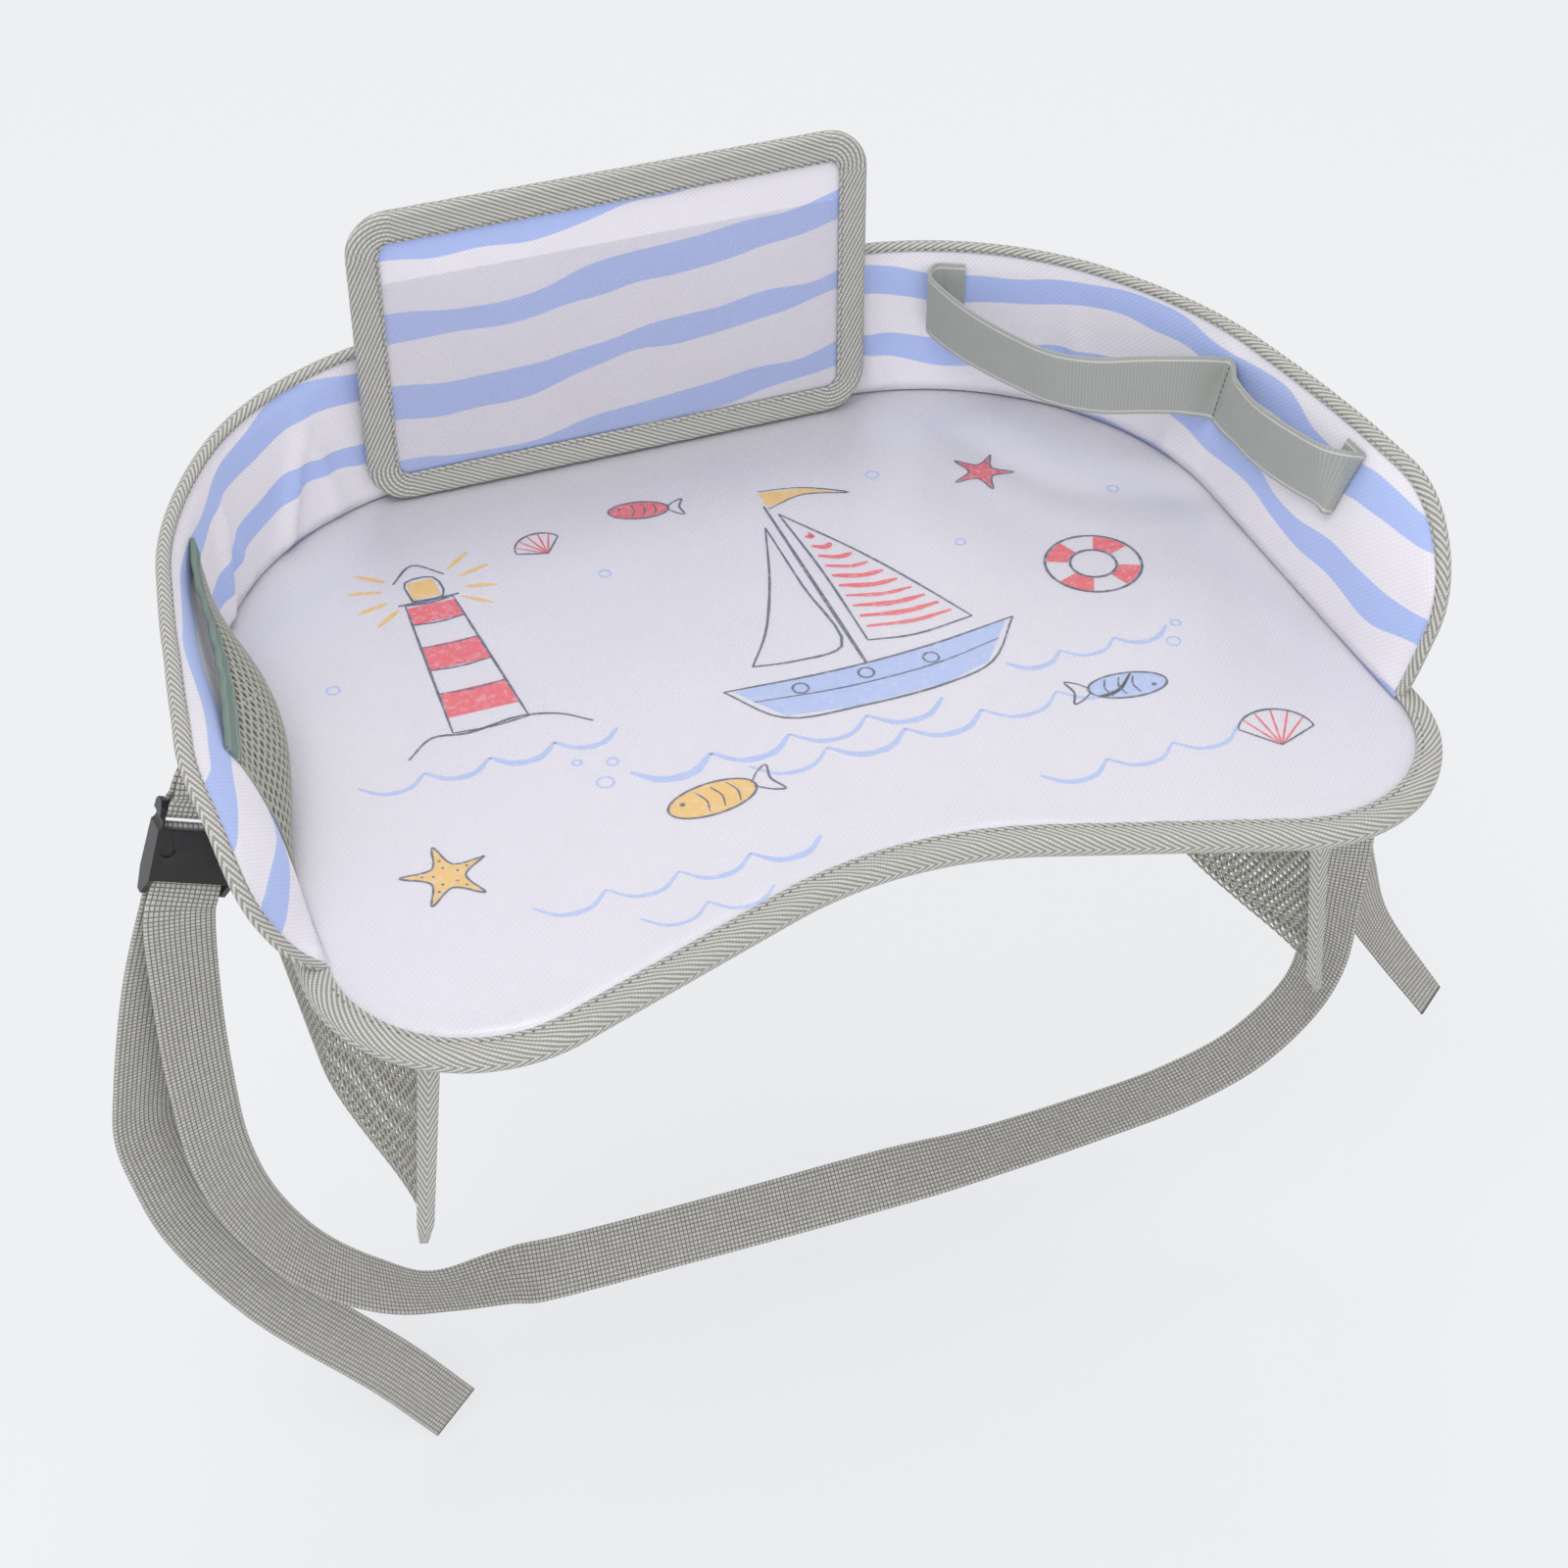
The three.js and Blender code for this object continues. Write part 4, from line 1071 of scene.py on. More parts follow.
@dataclass(frozen=True)
class WallForm:
    """The padded wall, measured along its seam from the middle of the back."""

    half_straight: float = 79.0
    corner_radius: float = 120.0
    corner_y: float = 62.0
    foot: float = 7.7
    rise: float = 63.6
    end: float = 413.5
    corner_long: float = 55.0
    corner_tall: float = 40.0
    back_flare: float = 5.0
    side_flare: float = 22.0
    flare_start: float = 200.0
    flare_length: float = 140.0
    splays: Flat = (16.0, 6.5)
    splay_start: float = 312.0
    splay_bend: float = 12.0
    splay_turn: float = 0.62
    splay_power: float = 1.5

    @property
    def side_start(self) -> float:
        """Distance at which the back corner turns to the straight side."""
        return self.half_straight + self.corner_radius * math.pi / 2

    def seam(self, distance: float) -> tuple[Vector, Vector]:
        """A place on the seam line and its outward direction.

        Args:
            distance: Distance along the seam, negative on the left.

        Returns:
            The place and the direction.
        """
        side = -1 if distance < 0 else 1
        s = abs(distance)
        turn = min(max((s - self.half_straight) / self.corner_radius, 0), math.pi / 2)
        x = min(s, self.half_straight) + self.corner_radius * math.sin(turn)
        y = self.corner_y + self.corner_radius * math.cos(turn) - max(s - self.side_start, 0)
        return Vector((side * x, y, 0)), Vector((side * math.sin(turn), math.cos(turn), 0))

    def flare(self, distance: float) -> float:
        """How far the top leans out over the foot."""
        share = smoothstep(abs(distance), self.flare_start, self.flare_start + self.flare_length)
        return lerp(self.back_flare, self.side_flare, share)

    def along_end(self, distance: float) -> float:
        """Share of the way along the part that splays, from 0 to 1 at the wall's end."""
        return min(max((abs(distance) - self.splay_start) / (self.end - self.splay_start), 0), 1)

    def point(self, distance: float, height: float, depth: float) -> Vector:
        """A point of the wall: along the seam, over the foot, and outwards from the inner face.

        Args:
            distance: Along the seam.
            height: Over the foot.
            depth: Outwards from the inner face.

        Returns:
            The point.
        """
        place, out = self.seam(distance)
        lean = math.copysign(self.flare(distance) * (height / self.rise) ** 2, height)
        share = self.along_end(distance)
        up = max(height, 0)
        turned = smoothstep(share, self.splay_turn, 1)
        bow = lerp((up / self.rise) ** 2, 1 - math.exp(-up / self.splay_bend), turned)
        lean += self.splays[distance > 0] * share ** self.splay_power * bow
        return place + out * (depth + lean) + UP * (self.foot + height)

    def upward(self, distance: float, height: float) -> Vector:
        """The direction up the wall's face."""
        _, out = self.seam(distance)
        return (out * self.flare(distance) * 2 * height / self.rise ** 2 + UP).normalized()

    def columns(self, inset: float, spans: int = 190, corner: int = 22) -> list[Flat]:
        """Pairs of distance and top height from one end to the other, drawn in by an inset.

        Args:
            inset: How far the edge is drawn in.
            spans: Spans of the straight edge.
            corner: Spans of each rounded end.

        Returns:
            The pairs.
        """
        reach = self.end - self.corner_long
        top = self.rise - inset
        level = [(distance, top) for distance in steps(-reach, reach, spans)]
        turn = steps(0, math.pi / 2, corner)[1:]
        round_end = [(reach + (self.corner_long - inset) * math.sin(t),
                      self.rise - self.corner_tall + (self.corner_tall - inset) * math.cos(t)) for t in turn]
        return [*((-d, h) for d, h in reversed(round_end)), *level, *round_end]


BASE = BaseForm()
WALL = WallForm()


# Sub-assemblies

@dataclass(frozen=True)
class TrayBase:
    """The flat base: cloth, stiff board, printed cloth, clear film and the tape that binds them."""

    bottom: Flat = (0.0, 0.8)
    top: Flat = (4.8, 5.6)
    film: Flat = (5.8, 6.3)
    layer_grow: float = 8.3
    binding_width: float = 9.5
    binding_low: float = -1.2
    binding_high: float = 7.5
    tape: float = 1.0
    crown: float = 3.3
    gathers: tuple[Flat, ...] = ((0.16, 2.1), (0.1, 5.3))
    ridge: tuple[Flat, ...] = ((0.0, 0.0), (-1.5, 0.45), (-3.5, 0.8), (-6.0, 0.75), (-9.0, 0.4), (-13.0, 0.0))
    ridge_start: Flat = (84.0, 112.0)
    stitch_in: float = 2.2
    stitch_front: float = -92.0
    stitch_lift: float = 0.12

    def binding_mesh(self) -> Mesh:
        """The folded tape round the base, slightly gathered where it turns."""
        section = tape_section(0, self.binding_width, self.binding_low, self.binding_high, self.tape,
                               self.crown)
        loops = [BASE.outline(grow) for grow, _ in section]
        run = lengths(at_level(loops[0]), closed=True)
        rings = []
        for k, place in enumerate(zip(*loops)):
            gather = gathered(run[k], self.gathers)
            rings.append([Vector((*spot, z + (gather if 0 < grow < self.binding_width * 0.8 else 0)))
                          for spot, (grow, z) in zip(place, section)])
        return loft(rings, run, tape_width(section), closed=True)

    def film_mesh(self) -> Mesh:
        """The clear film, with a soft ridge inside the open front edge of the binding."""
        low, high = self.film
        ridge = ((self.layer_grow, 0.0), *self.ridge)
        loops = [BASE.outline(grow) for grow, _ in ridge]
        rings = []
        for k, place in enumerate(zip(*loops)):
            rise = smoothstep(-place[0][1], *self.ridge_start) * (1 + 0.25 * math.sin(k / 6))
            top = [Vector((*spot, high + lift * rise)) for spot, (_, lift) in zip(place, ridge)]
            rings.append([*top, *at_level(reversed(place), low)])
        bm = loft(rings, steps(0, 1, len(rings)), steps(0, 1, len(rings[0])), closed=True)
        inner = [vert for vert in bm.verts if any(math.dist(vert.co.xy, spot) < 1e-3 for spot in loops[-1])]
        walls = [face for face in bm.faces if all(v in inner for v in face.verts)]
        bmesh.ops.delete(bm, geom=walls, context="FACES_ONLY")
        close(bm)
        return bm

    def seam_mesh(self) -> Mesh:
        """The stitches that show on the binding in front of the wall."""
        level = self.binding_high + self.stitch_lift
        path = [place for place in at_level(BASE.outline(self.stitch_in), level) if place.y < self.stitch_front]
        return Seam(pitch=3.4, length=1.5, radius=0.36).sew(bmesh.new(), path, [UP] * len(path))

    def build(self) -> None:
        """Makes and dresses every layer of the base."""
        outline = BASE.outline(self.layer_grow)
        for name, span, node in (("base_bottom_cloth", self.bottom, "base_bottom_cover"),
                                 ("base_top_cloth", self.top, "base_top_cover")):
            piece = make_piece(plate(outline, *span, rim=0.15), name, COVER, "tray", "printed_cloth", [node])
        make_piece(self.film_mesh(), "base_film", FILM, "tray", "clear_film", ["base_clear_film"])
        make_piece(self.binding_mesh(), "base_binding", TAPE, "tray", "edge_tape", ["base_edge_binding"])
        make_piece(self.seam_mesh(), "base_binding_stitches", THREAD, "tray", "edge_tape")


@dataclass(frozen=True)
class TrayWall:
    """The padded wall: striped cloth on both sides of a foam core, with a tape over its edge."""

    lining: Flat = (0.0, 0.8)
    core: Flat = (1.0, 5.0)
    cover: Flat = (5.2, 6.0)
    inset: float = 1.3
    rows: int = 20
    tuck: float = 1.2
    flange: float = 3.0
    pinch: Flat = (1.3, 2.0)
    pinch_reach: float = 7.0
    pinch_edge: float = 1.2
    puff: float = 0.9
    puff_low: float = 8.5
    puff_width: float = 4.5
    gather: float = 0.3
    gather_height: float = 6.5
    swelling: float = 0.2
    core_rows: tuple[float, ...] = (0, 0.2, 0.4, 0.6, 0.76, 0.88, 1)
    core_thin: Flat = (1.5, 2.3)
    core_edge: float = 15.0
    tape_span: Flat = (0.1, 5.0)
    tape: float = 0.8
    creases: tuple[tuple[float, float, float], ...] = (
        (-213, 0.3, 3.6), (-188, -0.35, 2.0), (-161, 0.4, 3.2), (-131, -0.25, 2.8), (-110, 0.2, 1.6),
        (104, -0.15, 2.2), (158, 0.35, 1.8), (196, -0.3, 2.2), (236, 0.2, 1.4))
    crease_width: float = 4.6
    loop_half: float = 75.0
    loop_low: float = 14.0
    loop_high: float = 39.0
    loop_thickness: float = 3.0
    loop_gap: float = 0.3

    def swell(self, distance: float, height: float, top: float) -> float:
        """How far the sewn cloth stands off its core: gathers at the foot and soft swells above.

        Args:
            distance: Along the seam.
            height: Over the foot.
            top: The wall's height there.

        Returns:
            The distance off the core.
        """
        share = height / top
        folds = 1 + math.sin(distance / 1.4 + 1.9 * math.sin(distance / 17))
        gathers = self.gather * math.exp(-height / self.gather_height) * folds
        waves = 1 + math.sin(distance / 15 + 0.9 * math.sin(height / 12))
        soft = self.swelling * math.sin(math.pi * share) * waves
        return gathers * smoothstep(share, 0, 0.04) + soft

    def creased(self, distance: float, height: float, top: float) -> float:
        """Height of the slanting folds that the lining makes in the back corners.

        Args:
            distance: Along the seam.
            height: Over the foot.
            top: The wall's height there.

        Returns:
            The folds' height.
        """
        fade = smoothstep(top - height, top * 0.08, top * 0.75) * smoothstep(height, 0, 3)
        return fade * sum(size * math.exp(-((distance - at - slant * height) / self.crease_width) ** 2)
                          for at, slant, size in self.creases)

    def drawn(self, distance: float, height: float, top: float, away: float) -> float:
        """How far the tape draws a cloth in at the wall's edge; the outer cloth puffs up just below.

        Args:
            distance: Along the seam.
            height: Over the foot.
            top: The wall's height there.
            away: -1 for the lining and 1 for the cover.

        Returns:
            The distance towards the core.
        """
        last = WALL.end - self.inset
        share = max(smoothstep(height, top - self.pinch_reach, top - self.pinch_edge),
                    smoothstep(abs(distance), last - self.pinch_reach - 3, last - self.pinch_edge))
        if away < 0:
            return self.pinch[0] * share
        below = math.exp(-((height - top + self.puff_low) / self.puff_width) ** 2)
        return self.pinch[1] * share - self.puff * below * (1 - share)

    def layer_mesh(self, depth: float, away: float) -> Mesh:
        """One layer of the wall at a depth; away is the sign of its swell, or 0 for the core.

        Args:
            depth: Depth of the cloth's middle.
            away: -1 for the lining and 1 for the cover.

        Returns:
            The open mesh.
        """
        columns = WALL.columns(self.inset, spans=270)
        last = len(columns) - 1

        def place(u: float, v: float) -> tuple[Vector, Flat]:
            """The cloth's point and its pattern spot."""
            distance, top = columns[round(u * last)]
            height = top * v
            off = away * (self.swell(distance, height, top) - self.drawn(distance, height, top, away))
            if away < 0:
                off -= self.creased(distance, height, top)
            if away < 0 and v == 0:
                height, off = -self.tuck, -self.tuck * 0.8
            return WALL.point(distance, height, depth + off), (distance, height)

        return sheet_grid(last, self.rows, place)

    def core_mesh(self) -> Mesh:
        """The foam core, with closed edges."""
        columns = WALL.columns(self.inset, spans=90, corner=12)
        last = WALL.end - self.inset
        rings = []
        for distance, top in columns:
            ending = smoothstep(abs(distance), last - self.core_edge, last)
            inner, outer = [], []
            for height in (top * share for share in self.core_rows):
                thin = max(smoothstep(height, top - self.core_edge, top), ending)
                inner.append(WALL.point(distance, height, self.core[0] + self.core_thin[0] * thin))
                outer.append(WALL.point(distance, height, self.core[1] - self.core_thin[1] * thin))
            rings.append([*inner, *reversed(outer)])
        run = [distance for distance, _ in columns]
        return loft(rings, run, steps(0, 2 * WALL.rise, len(rings[0])), closed=False)

    def tape_mesh(self) -> Mesh:
        """The tape folded over the wall's edge, from foot to foot."""
        section = tape_section(-self.flange, 0, *self.tape_span, self.tape, 1.8)
        paths = []
        for grow, depth in section:
            columns = WALL.columns(-grow)
            distance, height = columns[-1]
            down = [(distance, height * share) for share in steps(1, 0, 8)[1:]]
            start = [(-d, h) for d, h in reversed(down)]
            paths.append([WALL.point(d, h, depth) for d, h in (*start, *columns, *down)])
        return loft(list(zip(*paths)), lengths(paths[0]), tape_width(section), closed=False)

    def seam_mesh(self) -> Mesh:
        """The stitches along the inner leg of the edge tape."""
        depth = self.tape_span[0] - 0.12
        columns = WALL.columns(self.flange * 0.62)
        path = [WALL.point(distance, height, depth) for distance, height in columns]
        normals = [-WALL.seam(distance)[1] for distance, _ in columns]
        return Seam(pitch=3.2, length=1.6, radius=0.28).sew(bmesh.new(), path, normals)

    def build(self) -> None:
        """Makes and dresses the wall's layers, its tape and the loop strip."""
        for name, span, away, node in (("wall_lining_cloth", self.lining, -1, "wall_inner_lining"),
                                       ("wall_cover_cloth", self.cover, 1, "wall_outer_cover")):
            mesh = self.layer_mesh(sum(span) / 2, away)
            piece = make_piece(mesh, name, STRIPED, "tray", "striped_cloth", [node], solid=span[1] - span[0])
        pad = make_piece(self.core_mesh(), "wall_foam_pad", FOAM, "tray", "wall_foam", ["wall_core"])
        make_piece(self.tape_mesh(), "wall_tape", TAPE, "tray", "edge_tape", ["wall_edge_tape"])
        make_piece(self.seam_mesh(), "wall_tape_stitches", THREAD, "tray", "edge_tape")

        middle = -self.loop_gap - self.loop_thickness / 2
        height = (self.loop_low + self.loop_high) / 2
        stations = [Station(WALL.point(distance, height, middle), WALL.upward(distance, height))
                    for distance in steps(-self.loop_half, self.loop_half, 30)]
        pile = ribbon(stations, flat_section(self.loop_high - self.loop_low, self.loop_thickness))
        make_piece(pile, "wall_loop_pile", GRIP, "tray", "hook_and_loop", ["wall_loop_strip"])


@dataclass(frozen=True)
class TabletPanel:
    """The lift-off panel: board in cloth, a clear pocket on its front, bound with tape."""

    width: float = 210.0
    height: float = 126.0
    radius: float = 17.0
    centre_x: float = -10.6
    back_y: float = 175.4
    centre_z: float = 69.5
    cloth: float = 0.6
    board: float = 1.6
    gap: float = 0.2
    film: float = 0.4
    tape: float = 0.8
    crown: float = 2.2
    binding_width: float = 12.0
    mouth_drop: float = 17.0
    hook_length: float = 150.0
    hook_height: float = 25.0
    hook_thickness: float = 2.2
    hook_z: float = 34.2
    gathers: tuple[Flat, ...] = ((0.1, 2.3),)
    stitch_in: float = 10.8
    stitch_lift: float = 0.1

    def outline(self, grow: float, fineness: int = 14) -> list[Flat]:
        """The panel's outline about its own centre.

        Args:
            grow: Distance outwards from the panel's edge.
            fineness: Spans of each corner.

        Returns:
            The points, anticlockwise.
        """
        x = self.width / 2 - self.radius
        y = self.height / 2 - self.radius
        radius = self.radius + grow
        points = []
        for k, (cx, cy) in enumerate(((x, y), (-x, y), (-x, -y), (x, -y))):
            points += arc(cx, cy, radius, k * math.pi / 2, (k + 1) * math.pi / 2, fineness)
        return [p for a, b in pairwise([*points, points[0]]) for p in split(a, b, 3.0)]

    def stood(self, bm: Mesh) -> Mesh:
        """Stands a flat mesh up: its own z becomes the way towards the front.

        Args:
            bm: The mesh, laid flat.

        Returns:
            The same mesh, stood in its place.
        """
        turn = Matrix.Rotation(math.pi / 2, 4, "X")
        place = Matrix.Translation((self.centre_x, self.back_y, self.centre_z))
        bmesh.ops.transform(bm, matrix=place @ turn, verts=bm.verts[:])
        return bm

    def binding_mesh(self, high: float) -> Mesh:
        """The folded tape round the panel.

        Args:
            high: Level of the tape's front face.

        Returns:
            The closed mesh, laid flat.
        """
        reach = self.gap + self.tape
        section = tape_section(-self.binding_width, 0, -reach, high, self.tape, self.crown)
        loops = [self.outline(grow) for grow, _ in section]
        run = lengths(at_level(loops[0]), closed=True)
        rings = []
        for k, place in enumerate(zip(*loops)):
            gather = gathered(run[k], self.gathers)
            rings.append([Vector((*spot, z + gather)) for spot, (_, z) in zip(place, section)])
        return loft(rings, run, tape_width(section), closed=True)

    def build(self) -> None:
        """Makes and dresses the panel's layers, binding, stitches and hook strip."""
        layers = self.outline(-self.tape - self.gap)
        front = self.cloth + self.gap + self.board + self.gap
        window = front + self.cloth + self.gap
        for name, low, finish, slot, node in (
                ("panel_back_cloth", 0.0, COVER, "printed_cloth", "panel_back_cover"),
                ("panel_front_cloth", front, PANEL_STRIPED, "striped_cloth", "panel_front_cover")):
            mesh = self.stood(plate(layers, low, low + self.cloth, rim=0.12))
            piece = make_piece(mesh, name, finish, "panel", slot, [node])
        mouth = self.height / 2 - self.binding_width - self.mouth_drop
        low_part = [(x, y) for x, y in layers if y <= mouth]
        right = max(x for x, _ in layers)
        gaps = pairwise([*low_part, low_part[0]])
        start = next(k for k, (a, b) in enumerate(gaps) if math.dist(a, b) > right)
        cut = [*low_part[start + 1:], *low_part[:start + 1], (right, mouth), (-right, mouth)]
        film = self.stood(plate(cut, window, window + self.film, rim=0.1))
        make_piece(film, "panel_film", FILM, "panel", "clear_film", ["panel_window"])
        high = window + self.film + self.gap + self.tape
        binding = self.stood(self.binding_mesh(high))
        make_piece(binding, "panel_binding", TAPE, "panel", "edge_tape", ["panel_edge_binding"])
        inner = self.outline(-self.stitch_in)
        path = at_level([*inner, inner[0]], high + self.stitch_lift)
        stitches = Seam(pitch=2.6, length=1.5, radius=0.28).sew(bmesh.new(), path, [UP] * len(path))
        make_piece(self.stood(stitches), "panel_binding_stitches", THREAD, "panel", "edge_tape")
        y = self.back_y + self.gap + self.hook_thickness / 2
        half = self.hook_length / 2
        stations = [Station(Vector((x, y, self.hook_z)), UP) for x in steps(-half, half, 20)]
        strip = ribbon(stations, flat_section(self.hook_height, self.hook_thickness))
        make_piece(strip, "panel_hooks", GRIP, "panel", "hook_and_loop", ["panel_hook_strip"])


@dataclass(frozen=True)
class ElasticBand:
    """The elastic on the right of the wall: two loops between three sewn places."""

    height: float = 27.0
    thickness: float = 1.2
    lift: float = 0.7
    heights: tuple[float, float, float] = (43.0, 41.0, 47.0)
    sewn: tuple[float, float, float] = (128.0, 261.0, 345.0)
    tab: float = 11.0
    slacks: Flat = (47.0, 12.0)
    tip: float = 0.17
    follow: float = 8.0
    stitch_rows: Flat = (-1.4, 1.6)
    stitch_lift: float = 0.15
    large: tuple[Flat, ...] = (
        (-0.024, 0.1), (-0.027, 0.2), (0.008, 0.38), (0.145, 0.73), (0.37, 0.96), (0.6, 1), (0.78, 0.84),
        (0.88, 0.55), (0.96, 0.24))
    small: tuple[Flat, ...] = (
        (0.08, 0.15), (0.25, 0.62), (0.5, 1), (0.78, 0.98), (0.96, 0.76), (1.01, 0.42), (1.008, 0.16))

    def route(self) -> list[tuple[float, float, float]]:
        """The band's way as distance, stand-off and height."""
        def tab(end: float, side: int, height: float) -> list[tuple[float, float, float]]:
            """The folded end under the stitches."""
            return [(end + side * self.tab, 0, height), (end + side * self.tab / 2, 0, height)]

        def loop(shares: Sequence[Flat], k: int) -> list[tuple[float, float, float]]:
            """One loop between two sewn places."""
            return [(lerp(self.sewn[k], self.sewn[k + 1], along), self.slacks[k] * off,
                     lerp(self.heights[k], self.heights[k + 1], along)) for along, off in shares]

        first, middle, last = ((s, 0.0, h) for s, h in zip(self.sewn, self.heights))
        return [*tab(first[0], 1, first[2]), first, *loop(self.large, 0), middle, *loop(self.small, 1), last,
                *reversed(tab(last[0], -1, last[2]))]

    def stations(self, count: int = 260) -> list[Station]:
        """Stations along the band.

        Args:
            count: Number of spans.

        Returns:
            The stations.
        """
        seat = self.thickness / 2 + self.lift
        points, acrosses = [], []
        for distance, off, height in self.route():
            upward = WALL.upward(distance, height)
            _, out = WALL.seam(distance)
            point = WALL.point(distance, height, -seat - off)
            point.z += min(off, self.follow) * math.hypot(upward.x, upward.y) / upward.z
            points.append(point)
            in_loop = (out * -self.tip * off / self.slacks[0] + UP).normalized()
            acrosses.append(in_loop.lerp(upward, max(1 - off / self.follow, 0)).normalized())
        return stations_along(points, acrosses, count)

    def seam_mesh(self, stations: Sequence[Station]) -> Mesh:
        """Two rows of stitches where the middle of the band is sewn to the wall.

        Args:
            stations: The band's stations.

        Returns:
            The stitches.
        """
        middle = WALL.point(self.sewn[1], self.heights[1], -self.lift)
        nearest = min(stations, key=lambda s: (s.at - middle).length)
        _, out = WALL.seam(self.sewn[1])
        sideways = out.cross(UP)
        bm = bmesh.new()
        half = self.height / 2 - 2
        for shift in self.stitch_rows:
            at = nearest.at - out * (self.thickness / 2 + self.stitch_lift) + sideways * shift
            path = [at + nearest.across * height for height in steps(-half, half, 12)]
            Seam(pitch=2.6, length=1.9, radius=0.3).sew(bm, path, [-out] * len(path))
        return bm

    def build(self) -> None:
        """Makes and dresses the band and its stitches."""
        stations = self.stations()
        mesh = ribbon(stations, flat_section(self.height, self.thickness, spans=8))
        make_piece(mesh, "band_elastic", ELASTIC, "tray", "elastic", ["elastic_band"])
        make_piece(self.seam_mesh(stations), "band_stitches", DARK_THREAD, "tray", "elastic")


@dataclass(frozen=True)
class NetPocket:
    """The net pocket inside the left wall, with an elastic hem along its mouth."""

    start: float = -350.0
    end: float = -232.0
    front_height: float = 40.0
    back_height: float = 43.0
    bulge: float = 12.0
    hem_height: float = 9.0
    hem_thickness: float = 1.6
    seat: float = 0.3
    lift: float = 0.6
    gap: float = 0.2
    cut_length: float = 138.0
    cut_height: float = 52.0
    skew: float = 20.0
    hem_share: float = 0.42
    ripple: float = 0.35

    def top(self, share: float) -> float:
        """Height of the net's upper edge at a share of its length."""
        return lerp(self.front_height, self.back_height, share)

    def bulge_at(self, share: float, up: float) -> float:
        """How far the pocket stands off the wall: fullest under the hem, which the elastic draws in."""
        full = math.sin(math.pi * up ** 0.75) + self.hem_share * up
        return self.bulge * math.sin(math.pi * share) * full

    def build(self) -> None:
        """Makes and dresses the net and its hem."""
        long = self.end - self.start
        tall = self.top(1)

        def place(along: float, up: float) -> Vector:
            """Carries the flat net to the wall."""
            share, rise = along / long, up / tall
            height = self.lift + (self.top(share) - self.lift) * rise
            distance = lerp(self.start - self.skew * (1 - rise), self.end, share)
            return WALL.point(distance, height, -self.seat - 0.5 - self.bulge_at(share, rise))

        net = Netting(pitch=3.8, row=2.9, thread=1.25, thickness=0.6)
        piece = make_piece(net.mesh(long, tall, place), "pocket_netting", NET_YARN, "tray", "net",
                           ["wall_pocket_net"], solid=net.thickness)
        stations = []
        for share in steps(0, 1, 60):
            distance = lerp(self.start, self.end, share)
            height = self.top(share) + self.gap + self.hem_height / 2
            ripple = self.ripple * math.sin(distance / 2.4) * math.sin(math.pi * share)
            off = self.seat + self.hem_thickness / 2 + self.bulge_at(share, 1) + ripple
            stations.append(Station(WALL.point(distance, height, -off), WALL.upward(distance, height)))
        mesh = ribbon(stations, flat_section(self.hem_height, self.hem_thickness))
        make_piece(mesh, "pocket_hem_elastic", HEM, "tray", "hem_elastic", ["wall_pocket_hem"])


@dataclass(frozen=True)
class SideNet:
    """A net pouch hanging beside the legs: a double net folded at its lower edge, with a taped front."""

    side: Side
    top_x: float = 167.0
    fold_x: float = 178.0
    top_width: float = 14.0
    fold_width: float = 5.0
    depth: float = 117.0
    top_z: float = -0.2
    sway: float = 14.0
    front_y: float = -88.3
    back_y: float = 92.0
    tape_y: float = -89.3
    tape_width: float = 9.0
    tip_width: float = 6.5
    tape_thickness: float = 1.4
    tape_fold: float = 7.0
    front_share: float = 0.42
    front_reach: float = 45.0
    billow: float = 1.6

    def spot(self, y: float, way: float) -> Vector:
        """A point of the net, which is drawn in at its front and billows below.

        Args:
            y: The place along the net.
            way: The way down the outer sheet and up the inner one, from -1 to 1.

        Returns:
            The point.
        """
        down = 1 - abs(way)
        drawn = lerp(self.front_share, 1, smoothstep(y, self.front_y, self.front_y + self.front_reach))
        half = drawn * (lerp(self.top_width, self.fold_width, down) / 2 - 0.5)
        round_in = math.sqrt(max(1 - down ** 24, 0))
        x = lerp(self.top_x, self.fold_x, down) + math.copysign(half * round_in, -way)
        full = math.copysign(self.billow, -way) * math.sin(math.pi * down)
        billow = drawn * full * (0.6 + 0.4 * math.sin(y / 21))
        sway = self.sway * smoothstep(y, -90, 0)
        z = self.top_z - self.depth * down
        swayed = self.side.value * (x + billow) + sway * (z - self.top_z) / self.depth
        return Vector((swayed, y, z))

    def build(self) -> None:
        """Makes and dresses the pouch and its front tape."""
        word = self.side.word
        wide = self.back_y - self.front_y
        long = 2 * self.depth

        def place(along: float, down: float) -> Vector:
            """Carries the flat net round the fold."""
            return self.spot(self.front_y + along, down / self.depth - 1)

        net = Netting()
        piece = make_piece(net.mesh(wide, long, place), f"{word}_pouch_netting", NET_YARN, "tray", "net",
                           [f"{word}_side_net"], solid=net.thickness)
        stations = []
        for share in steps(0, 1, 24):
            at = Vector((self.side.value * lerp(self.top_x, self.fold_x, share), self.tape_y,
                         self.top_z - self.tape_thickness - self.depth * share))
            wide = lerp(1, self.tip_width / self.tape_width, share)
            stations.append(Station(at, Vector((self.side.value, 0, 0)), wide))
        tip = stations[-1]
        for share in (0.5, 1.0):
            drop = Vector((self.side.value * self.tape_fold / 4, -self.tape_fold / 4, -self.tape_fold)) * share
            stations.append(Station(tip.at + drop, tip.across, tip.wide * lerp(1, 0.5, share)))
        mesh = ribbon(stations, flat_section(self.tape_width, self.tape_thickness))
        make_piece(mesh, f"{word}_pouch_tape", TAPE, "tray", "edge_tape", [f"{word}_net_tape"])


